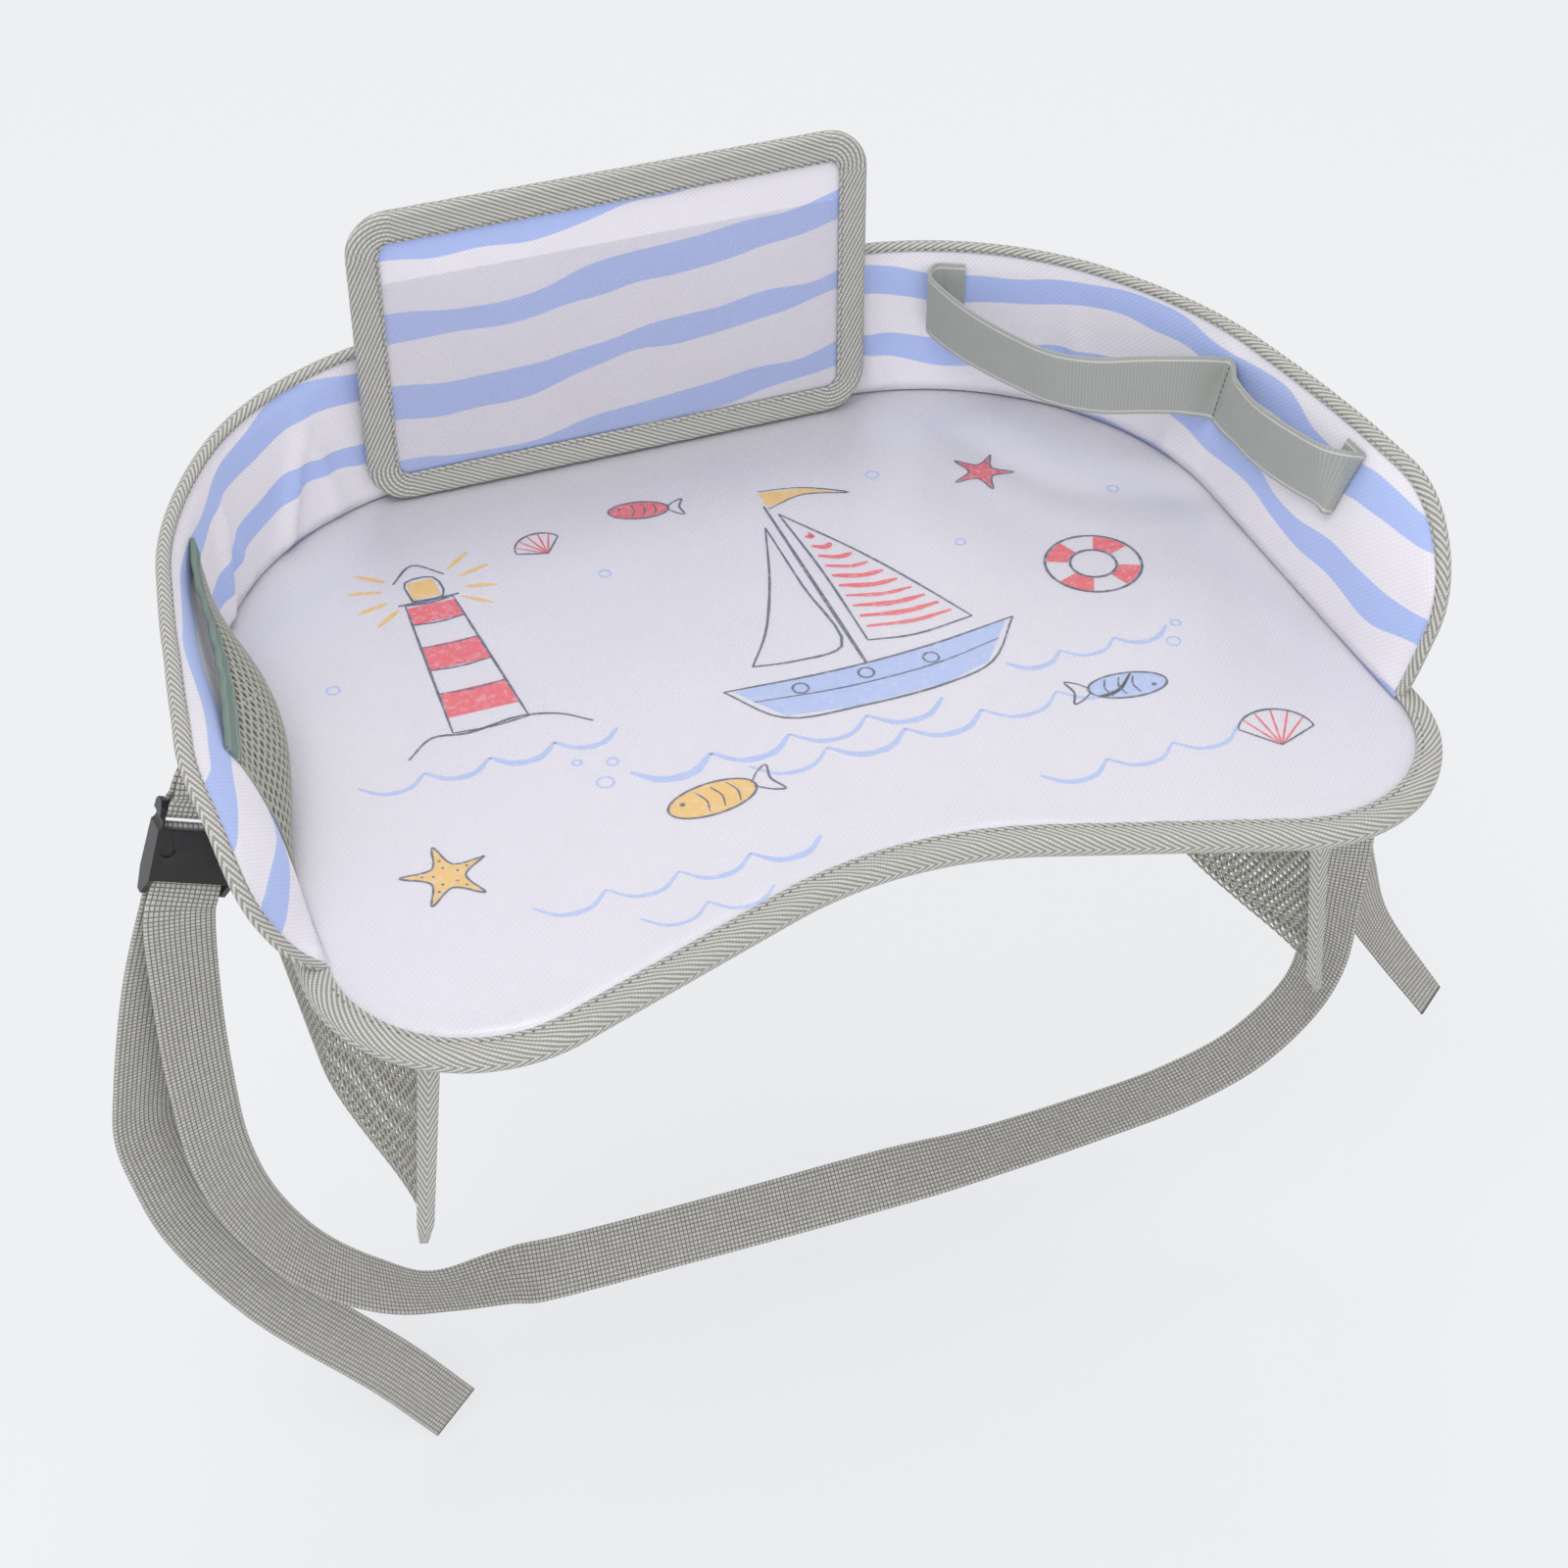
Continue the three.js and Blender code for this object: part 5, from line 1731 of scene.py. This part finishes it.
@dataclass(frozen=True)
class LadderLock:
    """A moulded ladder lock: two bars between rails, with a flared thumb plate."""

    side: Side
    centre: Place = (228.0, -14.0, 12.4)
    roll: float = 22.0
    pitch: float = 10.0
    bar_radius: float = 1.8
    top_bar: float = 15.0
    middle_bar: float = 5.0
    length: float = 35.0
    slack: float = 0.9

    def turn(self) -> Matrix:
        """The lock's turn: its top leans inwards and back."""
        lean = Matrix.Rotation(math.radians(-self.side.value * self.roll), 3, "Y")
        return lean @ Matrix.Rotation(math.radians(-self.pitch), 3, "X")

    def spot(self, y: float, z: float) -> Vector:
        """A point on the lock's middle plane."""
        x, front, up = self.centre
        return self.turn() @ Vector((0, y, z)) + Vector((self.side.value * x, front, up))

    def across(self) -> Vector:
        """The direction of the bars."""
        return self.turn() @ Vector((1, 0, 0))

    def up(self) -> Vector:
        """The direction along the webbing."""
        return self.turn() @ UP

    def round_bar(self, lift: float, over: bool, webbing: float, gap: float, count: int = 14) -> list[Vector]:
        """Half a turn of webbing round a bar, from its front to its back.

        Args:
            lift: The bar's height on the lock.
            over: True where the webbing passes over the bar.
            webbing: The webbing's thickness.
            gap: Space between the bar and the webbing.
            count: Number of spans.

        Returns:
            Points on the webbing's middle line.
        """
        radius = self.bar_radius + gap + webbing / 2
        reach = (radius + self.slack) * (1 if over else -1)
        return [self.spot(-radius * math.cos(t), lift + reach * math.sin(t)) for t in steps(0, math.pi, count)]

    def build(self) -> None:
        """Makes and dresses the lock from its solid, with softened edges."""
        word = self.side.word
        bm = bmesh.new()
        bm.from_mesh(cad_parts[f"{word}_ladder_lock"].data)
        bmesh.ops.remove_doubles(bm, verts=bm.verts[:], dist=2e-6)
        bmesh.ops.dissolve_limit(bm, angle_limit=math.radians(2), verts=bm.verts[:], edges=bm.edges[:])
        piece = make_piece(bm, f"{word}_lock", PLASTIC, "strap", "lock_plastic", [f"{word}_ladder_lock"],
                           scale=1.0, crisp=35)
        soften = piece.modifiers.new("Moulded edges", "BEVEL")
        soften.width = 0.35 * MM
        soften.segments = 3
        soften.limit_method = "ANGLE"
        soften.angle_limit = math.radians(38)
        soften.harden_normals = True


@dataclass(frozen=True)
class Webbing:
    """The 25 mm webbing: two sewn anchors and one long strap through both locks."""

    width: float = 25.0
    thickness: float = 1.2
    seat_gap: float = 0.3
    layer_gap: float = 0.2
    wall_thickness: float = 6.0
    anchor_top: float = 50.0
    anchor_bend: float = 40.0
    anchor_waist: float = 19.5
    anchor_lift: float = 0.9
    anchor_straight: float = 6.0
    anchor_rows: Flat = (1.3, 2.9)
    anchor_row_half: float = 10.5
    anchor_row_lift: float = 0.2
    half_span: float = 240.0
    drop: float = 245.0
    left_drop: float = 330.0
    right_drop: float = 220.0
    back: float = 7.0
    loop_route: tuple[Stop, ...] = (
        (-0.994, 0.195, 0.4, (-0.98, -0.15, 0.1)), (-0.995, 0.383, 0.7, (-0.98, -0.2, 0)),
        (-0.982, 0.569, 1, (-0.94, -0.35, -0.05)), (-0.943, 0.711, 1.15, (-0.8, -0.58, -0.2)),
        (-0.863, 0.856, 1.3, (-0.5, -0.82, -0.3)), (-0.76, 0.96, 1.4, (-0.25, -0.95, -0.15)),
        (-0.664, 1.015, 1.5, (0, -0.99, 0.1)), (-0.552, 1.028, 1.55, (0, -0.97, -0.25)),
        (-0.475, 1.042, 1.6, (0, -0.66, -0.75)), (-0.182, 1.054, 1.6, (0, -0.61, -0.79)),
        (0.141, 1.06, 1.6, (0, -0.8, -0.6)), (0.331, 1.065, 1.6, (0, -0.97, -0.22)),
        (0.523, 1.057, 1.6, (0, -1, -0.1)), (0.718, 1.035, 1.55, (0, -1, -0.05)),
        (0.852, 0.988, 1.5, (0.05, -1, 0)), (0.949, 0.894, 1.4, (0.1, -0.99, 0)),
        (0.98, 0.8, 1.25, (0.35, -0.93, 0)), (0.978, 0.654, 1, (0.7, -0.7, 0)),
        (0.98, 0.507, 0.8, (0.93, -0.35, 0)), (0.98, 0.25, 0.4, (0.98, -0.15, 0.1)))
    left_route: tuple[Stop, ...] = (
        (-1.03, 0.14, 1.4, (-0.95, -0.15, 0.28)), (-1.072, 0.286, 1.9, (-0.92, -0.28, 0.25)),
        (-1.086, 0.365, 2.2, (-0.92, -0.3, 0)), (-1.073, 0.444, 2.4, (-0.88, -0.3, -0.2)),
        (-1.043, 0.537, 2.5, (-0.8, -0.33, -0.4)), (-0.938, 0.702, 2.6, (-0.76, -0.35, -0.5)),
        (-0.75, 0.905, 2.7, (-0.76, -0.35, -0.5)), (-0.655, 1.019, 2.7, (-0.76, -0.35, -0.5)))
    right_route: tuple[Stop, ...] = (
        (0.98, 0.2, 1.2, (0.97, -0.15, 0.1)), (0.985, 0.41, 1.7, (0.96, -0.2, 0)),
        (0.998, 0.584, 2, (0.97, -0.1, 0)), (1.041, 0.732, 1.8, (0.9, 0.3, 0)),
        (1.089, 0.858, 1.2, (0.78, 0.55, -0.05)), (1.154, 0.973, -2.4, (0.743, 0.649, -0.16)))

    def build_anchor(self, lock: LadderLock) -> None:
        """Makes one anchor: sewn flat to the wall, then turned to hold the lock's top bar.

        Args:
            lock: The lock that it holds.
        """
        side = lock.side.value
        distance = side * (WALL.side_start + WALL.corner_y - lock.spot(0, lock.top_bar).y)
        seat = self.wall_thickness + self.anchor_lift + self.thickness / 2
        sewn = Vector((0, -1, 0))
        barred = lock.across() * -side
        bend = [Station(at, barred)
                for at in lock.round_bar(lock.top_bar, False, self.thickness, self.seat_gap)]

        def strand(end: Vector, layer: int) -> list[Station]:
            """One layer from the wall down to the bar.

            Args:
                end: Where it meets the turn round the bar.
                layer: 0 beside the wall and 1 outside.

            Returns:
                The strand's stations.
            """
            depth = seat + layer * (self.thickness + self.layer_gap)
            points = [*(WALL.point(distance, height, depth) for height in (self.anchor_top, self.anchor_bend)),
                      *(end + lock.up() * lift for lift in (self.anchor_straight, self.thickness))]
            spans = 40
            made = stations_along(points, [sewn, sewn, barred, barred], spans)
            waist = self.anchor_waist / self.width
            return [Station(station.at, station.across, lerp(1, waist, math.sin(math.pi * k / spans)))
                    for k, station in enumerate(made)]

        stations = [*strand(bend[0].at, 1), *bend, *reversed(strand(bend[-1].at, 0))]
        mesh = ribbon(stations, flat_section(self.width, self.thickness))
        word = lock.side.word
        piece = make_piece(mesh, f"{word}_anchor_loop", WEBBING, None, "webbing", [f"{word}_anchor_webbing"])
        at = WALL.point(distance, self.anchor_bend, seat)
        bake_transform(piece)
        rows = bmesh.new()
        _, out = WALL.seam(distance)
        outer = seat + self.thickness * 1.5 + self.layer_gap + self.anchor_row_lift
        half = self.anchor_row_half
        for drop in self.anchor_rows:
            path = [WALL.point(distance + reach, self.anchor_top - drop, outer)
                    for reach in steps(-half, half, 12)]
            Seam(pitch=2.2, length=1.7, radius=0.3).sew(rows, path, [out] * len(path))
        make_piece(rows, f"{word}_anchor_stitches", DARK_THREAD, "tray", "webbing")

    def build_strap(self, left: LadderLock, right: LadderLock) -> None:
        """Makes the long strap, from the left tail through both locks to the right tail.

        Args:
            left: The left lock.
            right: The right lock.
        """
        strand_y = left.bar_radius + self.seat_gap + self.thickness / 2
        lifts = (left.middle_bar - self.thickness, 0, -left.length / 2, -left.length * 2 / 3)
        strap_y = left.spot(-strand_y, -left.length / 2).y

        def in_air(route: Sequence[Stop], drop: float) -> list[tuple[Vector, Vector]]:
            """A route's places, each with the direction of the width."""
            return [(Vector((self.half_span * x, strap_y + self.back * behind, -drop * z)), Vector(across))
                    for x, z, behind, across in route]

        def on_lock(lock: LadderLock, y: float, across: Vector) -> list[tuple[Vector, Vector]]:
            """The stretch that lies flat on a lock."""
            return [(lock.spot(y, lift), across) for lift in lifts]

        def over_bar(lock: LadderLock, across: Vector) -> list[Station]:
            """The turn over a lock's middle bar, without its two ends."""
            turn = lock.round_bar(lock.middle_bar, True, self.thickness, self.seat_gap)
            return [Station(at, across) for at in turn[1:-1]]

        def smooth(count: int, *way: tuple[Vector, Vector]) -> list[Station]:
            """Stations along a row of stops."""
            return stations_along([at for at, _ in way], [across for _, across in way], count)

        left_face, right_face = -left.across(), right.across()
        main = smooth(300, *on_lock(left, -strand_y, left_face), *in_air(self.loop_route, self.drop),
                      *reversed(on_lock(right, -strand_y, right_face)))
        left_tail = smooth(110, *on_lock(left, strand_y, left_face), *in_air(self.left_route, self.left_drop))
        right_tail = smooth(90, *on_lock(right, strand_y, right_face),
                            *in_air(self.right_route, self.right_drop))
        start = [Station(station.at, -station.across)
                 for station in (*reversed(left_tail), *reversed(over_bar(left, left_face)))]
        stations = [*start, *main, *over_bar(right, right_face), *right_tail]
        for k in range(1, len(stations)):
            if stations[k].across.dot(stations[k - 1].across) < 0:
                stations[k] = Station(stations[k].at, -stations[k].across, stations[k].wide)
        mesh = ribbon(stations, flat_section(self.width, self.thickness, spans=8))
        finish = WovenWebbing("strap_webbing_weave", sealed=lengths([station.at for station in stations])[-1])
        make_piece(mesh, "strap_belt", finish, "strap", "webbing", ["strap_webbing"])


# Print on the tray's floor

class Ink(Enum):
    """The four print colours: hex value and level of the printed layer."""

    BLUE = ("AFC3EC", 5.62)
    YELLOW = ("EDC25C", 5.65)
    RED = ("E9505C", 5.68)
    NAVY = ("3C4866", 5.71)


@dataclass(frozen=True)
class Spot:
    """Where a motif is printed: its place, its size and its lean in degrees."""

    x: float
    y: float
    size: float
    lean: float = 0.0

    def at(self, *pairs: Flat) -> list[Flat]:
        """Turns points in shares of the motif's size to places on the floor."""
        c, s = math.cos(math.radians(self.lean)), math.sin(math.radians(self.lean))
        return [(self.x + self.size * (a * c - b * s), self.y + self.size * (a * s + b * c)) for a, b in pairs]

    def near(self, a: float, b: float) -> "Spot":
        """An upright spot of the same size at one of the motif's own points."""
        return Spot(*self.at((a, b))[0], self.size)

    def ring(self, across: float, tall: float | None = None, count: int = 28, start: float = 0.0,
             end: float = 360.0) -> list[Flat]:
        """Points round an ellipse about the spot, or round a part of one.

        Args:
            across: Half its width, as a share of the size.
            tall: Half its height, or None for a circle.
            count: Number of spans.
            start: First angle in degrees.
            end: Last angle in degrees.

        Returns:
            The points, without the last one where the ring is whole.
        """
        high = across if tall is None else tall
        whole = abs(end - start) >= 360
        turns = steps(math.radians(start), math.radians(end), count)[:-1 if whole else None]
        return self.at(*((across * math.cos(t), high * math.sin(t)) for t in turns))


@dataclass
class FloorPrint:
    """A seaside print: a sailing boat, a lighthouse, fish, starfish, shells, a life ring, waves and bubbles."""

    thickness: float = 0.03
    pen: float = 1.1
    wobble: float = 0.12
    sheets: dict[Ink, Mesh] = field(default_factory=lambda: {ink: bmesh.new() for ink in Ink})

    def patch(self, ink: Ink, points: Sequence[Flat]) -> None:
        """Prints a filled shape."""
        add_layer(self.sheets[ink], points, ink.value[1], self.thickness)

    def stroke(self, ink: Ink, points: Sequence[Flat], pens: float = 1.0, taper: float = 0.35,
               fine: int = 5) -> None:
        """Prints a pen or brush stroke through points, thinner towards its ends.

        Args:
            ink: The colour.
            points: Places on the stroke.
            pens: Full width, as a number of pens.
            taper: How much thinner the ends are, from 0 to 1.
            fine: Spans between two points.
        """
        bm = self.sheets[ink]
        line = SmoothLine(at_level(points))
        count = fine * (len(points) - 1)
        spots = [line.at(t) for t in steps(0, 1, count)]
        made = bmesh.ops.create_grid(bm, x_segments=count, y_segments=1, size=1)["verts"]
        for vert in made:
            k = round((vert.co.x + 1) / 2 * count)
            along = (spots[min(k + 1, count)] - spots[max(k - 1, 0)]).normalized()
            swell = 1 - taper + taper * math.sin(math.pi * k / count)
            wobble = 1 + self.wobble * math.sin(spots[k].x * 0.7 + spots[k].y * 1.1)
            off = UP.cross(along) * self.pen * pens / 2 * swell * wobble * vert.co.y
            vert.co = spots[k] + off + UP * ink.value[1]
        thicken(bm, list(dict.fromkeys(face for vert in made for face in vert.link_faces)), self.thickness)

    def closed(self, ink: Ink, points: Sequence[Flat], pens: float = 1.0) -> None:
        """Prints an outline that meets itself."""
        self.stroke(ink, [*points, points[0]], pens, taper=0.0, fine=3)

    def lines(self, spot: Spot, rows: Iterable[tuple[float, Sequence[Flat]]]) -> None:
        """Prints a motif's navy strokes, each given as its width in pens and its points."""
        for pens, points in rows:
            self.stroke(Ink.NAVY, spot.at(*points), pens)

    def boat(self, spot: Spot) -> None:
        """A sailing boat with a striped sail and a pennant.

        Args:
            spot: Where it is printed.
        """
        self.patch(Ink.BLUE, spot.at((-0.44, 0.0), (-0.33, -0.17), (-0.1, -0.2), (0.2, -0.19), (0.36, -0.14),
                                     (0.5, 0.04), (0.2, 0.0), (-0.1, -0.015)))
        self.lines(spot, (
            (1.0, ((-0.47, 0.01), (-0.34, -0.175), (-0.1, -0.205), (0.2, -0.195), (0.37, -0.145),
                   (0.53, 0.05))),
            (1.0, ((-0.47, 0.01), (-0.1, -0.01), (0.22, 0.005), (0.53, 0.05))),
            (0.7, ((-0.4, -0.07), (-0.1, -0.1), (0.2, -0.09), (0.44, -0.04))),
            (1.5, ((0.0, -0.01), (0.005, 0.45), (0.01, 0.92))),
            (1.0, ((0.04, 0.86), (0.21, 0.56), (0.32, 0.32), (0.41, 0.1))),
            (1.0, ((0.04, 0.86), (0.055, 0.5), (0.05, 0.1))),
            (1.0, ((0.05, 0.1), (0.2, 0.075), (0.41, 0.1))),
            (1.0, ((-0.03, 0.8), (-0.13, 0.5), (-0.24, 0.25), (-0.34, 0.1))),
            (1.0, ((-0.34, 0.1), (-0.2, 0.08), (-0.04, 0.1), (-0.035, 0.45), (-0.03, 0.8))),
            (0.7, ((0.02, 0.9), (0.16, 0.94), (0.31, 0.895), (0.17, 0.98), (0.02, 1.01)))))
        edge = SmoothLine(at_level(spot.at((0.04, 0.85), (0.21, 0.55), (0.31, 0.32), (0.4, 0.12))))
        for k, share in enumerate(steps(0.14, 0.94, 9)):
            far = edge.at(share)
            (x, y), = spot.at((0.075, lerp(0.8, 0.13, share)))
            middle = ((x + far.x) / 2, (y + far.y) / 2 - spot.size * 0.018)
            stripe = [(x, y), middle, (far.x - spot.size * 0.02, far.y)]
            self.stroke(Ink.RED, stripe, 2.6 if k % 3 else 2.0, taper=0.5)
        self.patch(Ink.YELLOW, spot.at((0.02, 0.91), (0.16, 0.945), (0.3, 0.9), (0.17, 0.975), (0.02, 1.0)))
        for along in (-0.24, -0.02, 0.2):
            self.closed(Ink.NAVY, spot.near(along, -0.055).ring(0.025, count=12), 0.8)

    def lighthouse(self, spot: Spot) -> None:
        """A banded lighthouse on a rock, with its lamp lit.

        Args:
            spot: Where it is printed.
        """
        def half(level: float) -> float:
            """Half the tower's width at a share of its height."""
            return lerp(0.155, 0.095, level)

        for low, high in ((0.1, 0.26), (0.42, 0.58), (0.74, 0.86)):
            rows = ((low, -0.96), (low, 0.96), (high, 0.96), (high, -0.96))
            self.patch(Ink.RED, spot.at(*((side * half(level), level) for level, side in rows)))
        walls = ((1.0, [(side * half(level), level) for level in steps(0, 0.88, 4)]) for side in (-1, 1))
        bands = ((0.8, ((-half(level), level), (0, level - 0.012), (half(level), level)))
                 for level in (0.0, 0.26, 0.42, 0.58, 0.74, 0.88))
        self.lines(spot, (*walls, *bands))
        self.patch(Ink.YELLOW, spot.at((-0.06, 0.91), (0.06, 0.91), (0.055, 1.03), (-0.055, 1.03)))
        self.closed(Ink.NAVY, spot.at((-0.065, 0.9), (0.065, 0.9), (0.06, 1.04), (-0.06, 1.04)), 0.8)
        self.lines(spot, (
            (1.0, ((-0.11, 1.045), (0, 1.15), (0.11, 1.045))),
            (1.3, ((-0.13, 0.89), (0, 0.885), (0.13, 0.89))),
            (1.0, ((-0.36, -0.1), (-0.24, 0.0), (-0.1, -0.02), (0.12, 0.01), (0.27, -0.03), (0.38, -0.12)))))
        for turn in (math.radians(degrees) for degrees in (-38, -14, 14, 38)):
            for side in (-1, 1):
                ray = ((side * reach * math.cos(turn), 0.97 + reach * math.sin(turn))
                       for reach in (0.17, 0.24, 0.31))
                self.stroke(Ink.YELLOW, spot.at(*ray), 1.9, taper=0.6)

    def fish(self, spot: Spot, ink: Ink) -> None:
        """A small striped fish.

        Args:
            spot: Where it is printed.
            ink: Its colour.
        """
        body = spot.ring(0.5, 0.24, 26)
        tail = ((0.47, 0.03), (0.62, 0.17), (0.74, 0.22), (0.68, 0.0), (0.74, -0.22), (0.62, -0.17),
                (0.47, -0.03))
        stripes = ((0.7, ((k, 0.17), (k + 0.05, 0.0), (k, -0.17))) for k in (-0.12, 0.06, 0.24))
        self.patch(ink, body)
        self.closed(Ink.NAVY, body, 0.85)
        self.lines(spot, ((0.85, tail), *stripes))
        self.patch(Ink.NAVY, spot.near(-0.32, 0.06).ring(0.032, count=10))

    def starfish(self, spot: Spot, ink: Ink) -> None:
        """A rounded five-armed starfish.

        Args:
            spot: Where it is printed.
            ink: Its colour.
        """
        def arm(reach: float, turn: float) -> Flat:
            """A point at a share of the size from the middle."""
            return reach * math.cos(math.radians(turn)), reach * math.sin(math.radians(turn))

        tips = at_level(spot.at(*(arm(0.2 if k % 2 else 0.5, 36 * k) for k in range(10))))
        line = SmoothLine([*tips, tips[0]])
        shape = [tuple(line.at(t))[:2] for t in steps(0, 1, 60)][:-1]
        self.patch(ink, shape)
        self.closed(Ink.NAVY, shape[::2], 0.75)
        for turn, reach in product(range(0, 360, 72), (0.14, 0.26)):
            self.patch(Ink.NAVY, spot.near(*arm(reach, turn)).ring(0.018, count=8))

    def shell(self, spot: Spot) -> None:
        """A fan shell drawn in lines.

        Args:
            spot: Where it is printed.
        """
        rim = spot.ring(0.5, 0.46, 18, 10, 170)
        foot, = spot.at((0, -0.28))
        self.stroke(Ink.NAVY, rim, 0.9)
        for k in range(0, 19, 3):
            middle = ((foot[0] + rim[k][0]) / 2, (foot[1] + rim[k][1]) / 2)
            self.stroke(Ink.NAVY if k in (0, 18) else Ink.RED, [foot, middle, rim[k]], 0.75)

    def life_ring(self, spot: Spot) -> None:
        """A banded life ring.

        Args:
            spot: Where it is printed.
        """
        for start in (20, 110, 200, 290):
            outer = spot.ring(0.5, count=10, start=start, end=start + 45)
            inner = spot.ring(0.27, count=10, start=start + 45, end=start)
            self.patch(Ink.RED, [*outer, *inner])
        for share, count in ((0.52, 32), (0.25, 24)):
            self.closed(Ink.NAVY, spot.ring(share, count=count))

    def waves(self, spot: Spot, count: int, width: float) -> None:
        """A row of brushed scallops.

        Args:
            spot: Where the row starts, with the length of one scallop for its size.
            count: Number of scallops.
            width: Width of the brush.
        """
        for k in range(count):
            scallop = spot.near(k, 0)
            pens = width / self.pen * (1 + 0.25 * math.sin(scallop.x))
            self.stroke(Ink.BLUE, scallop.at((0, 0), (0.3, -0.26), (0.7, -0.26), (1, 0)), pens, taper=0.55)

    def draw(self) -> None:
        """Lays the motifs out over the floor."""
        self.boat(Spot(28, 8, 118))
        self.lighthouse(Spot(-112, 22, 92))
        self.fish(Spot(-52, -46, 34, 8), Ink.YELLOW)
        self.fish(Spot(112, -40, 30, 172), Ink.BLUE)
        self.fish(Spot(-18, 132, 24, -12), Ink.RED)
        self.starfish(Spot(-150, -52, 32, 20), Ink.YELLOW)
        self.starfish(Spot(120, 108, 26, 50), Ink.RED)
        self.shell(Spot(150, -84, 28, -16))
        self.shell(Spot(-62, 122, 20, 18))
        self.life_ring(Spot(134, 34, 36))
        for x, y, count, length, width in (
                (-74, -22, 4, 30, 3.0), (-34, -34, 5, 30, 2.4), (-128, -78, 4, 26, 2.6), (60, -76, 3, 26, 2.6),
                (76, -12, 3, 22, 2.2), (-166, 4, 4, 24, 2.4), (-96, -96, 2, 24, 2.0)):
            self.waves(Spot(x, y, length), count, width)
        for bubble in ((-84, -24, 3), (-78, -14, 2), (-90, -10, 1.6), (140, -22, 2.6), (146, -12, 1.8),
                       (-44, 96, 2.2), (78, 122, 2.6), (-160, 62, 2.4), (92, 66, 2), (164, 78, 2.2)):
            self.closed(Ink.BLUE, Spot(*bubble).ring(1.0, count=12), 0.9)

    def build(self) -> None:
        """Prints every motif and makes one thin piece of each ink."""
        self.draw()
        for ink, bm in self.sheets.items():
            bmesh.ops.recalc_face_normals(bm, faces=bm.faces[:])
            finish = PrintInk(f"print_ink_{ink.name.lower()}", colour=ink.value[0])
            make_piece(bm, f"floor_print_{ink.name.lower()}", finish, "tray", "printed_cloth")


# Studio

@dataclass(frozen=True)
class Studio:
    """The camera, the lamps and the pale paper under the tray."""

    spot: Place = (-0.3144, -0.7902, 0.6624)
    right: Place = (0.9321, -0.3621, 0.0)
    up: Place = (0.2303, 0.5929, 0.7716)
    back: Place = (-0.2794, -0.7192, 0.6361)
    lens: float = 67.5
    floor_z: float = -0.346
    sky: float = 0.95

    def camera(self) -> None:
        """Sets up the camera at the photographed angle."""
        data = bpy.data.cameras.new("camera")
        data.lens = self.lens
        data.sensor_width = 36
        data.clip_start = 0.01
        data.clip_end = 50
        camera = add_object("camera", data)
        camera.matrix_world = Matrix((self.right, self.up, self.back)).transposed().to_4x4()
        camera.location = self.spot
        bpy.context.scene.camera = camera

    def lamp(self, name: str, at: Place, power: float, size: float) -> None:
        """Hangs a square soft lamp that faces the tray.

        Args:
            name: The lamp's name.
            at: Its place in metres.
            power: Its power in watts.
            size: Its side in metres.
        """
        data = bpy.data.lights.new(name, "AREA")
        data.energy = power
        data.size = size
        lamp = add_object(name, data)
        lamp.location = at
        lamp.rotation_euler = (-Vector(at)).to_track_quat("-Z", "Y").to_euler()

    def build(self) -> None:
        """Makes the camera, lamps, world and floor."""
        self.camera()
        self.lamp("key_lamp", (-1.0, -0.9, 2.3), 14.0, 1.2)
        self.lamp("fill_lamp", (-0.6, -2.6, 1.3), 18.0, 2.0)
        self.lamp("rim_lamp", (0.35, 1.0, 2.4), 9.0, 0.7)
        world = bpy.data.worlds.new("studio")
        world.use_nodes = True
        world.node_tree.nodes.clear()
        add = partial(add_node, world.node_tree)
        rays = add("LightPath")
        dim = add("Background", {"Color": srgb("F7F5F7"), "Strength": self.sky})
        seen = add("Background", {"Color": srgb("EBEDEF"), "Strength": 1.0})
        mix = add("MixShader", {0: rays.outputs["Is Camera Ray"], 1: dim, 2: seen})
        add("OutputWorld", {"Surface": mix})
        bpy.context.scene.world = world
        bpy.context.scene.view_settings.view_transform = "Standard"

        bm = bmesh.new()
        bmesh.ops.create_grid(bm, x_segments=8, y_segments=8, size=7)
        bmesh.ops.translate(bm, verts=bm.verts[:], vec=(0, 0, self.floor_z))
        mesh = bpy.data.meshes.new("studio_floor")
        bm.to_mesh(mesh)
        bm.free()
        mesh.materials.append(StudioPaper("studio_paper").material())
        add_object("studio_floor", mesh)


def dress_boards() -> None:
    """Gives the two hidden boards, which keep their solids' shape, their own finish."""
    for name in ("base_board", "panel_board"):
        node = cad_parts[name]
        node.data.materials.clear()
        node.data.materials.append(BOARD.material())
        LOG.info("%s: kept, %s", name, BOARD.name)


def main() -> None:
    """Builds the studio and every sub-assembly."""
    logging.basicConfig(level=logging.INFO, format="%(message)s")
    Studio().build()
    TrayBase().build()
    FloorPrint().build()
    TrayWall().build()
    TabletPanel().build()
    ElasticBand().build()
    NetPocket().build()
    webbing = Webbing()
    locks = [LadderLock(side) for side in Side]
    for side, lock in zip(Side, locks):
        SideNet(side).build()
        lock.build()
        webbing.build_anchor(lock)
    webbing.build_strap(*locks)
    dress_boards()
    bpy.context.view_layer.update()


if __name__ == "__main__":
    main()
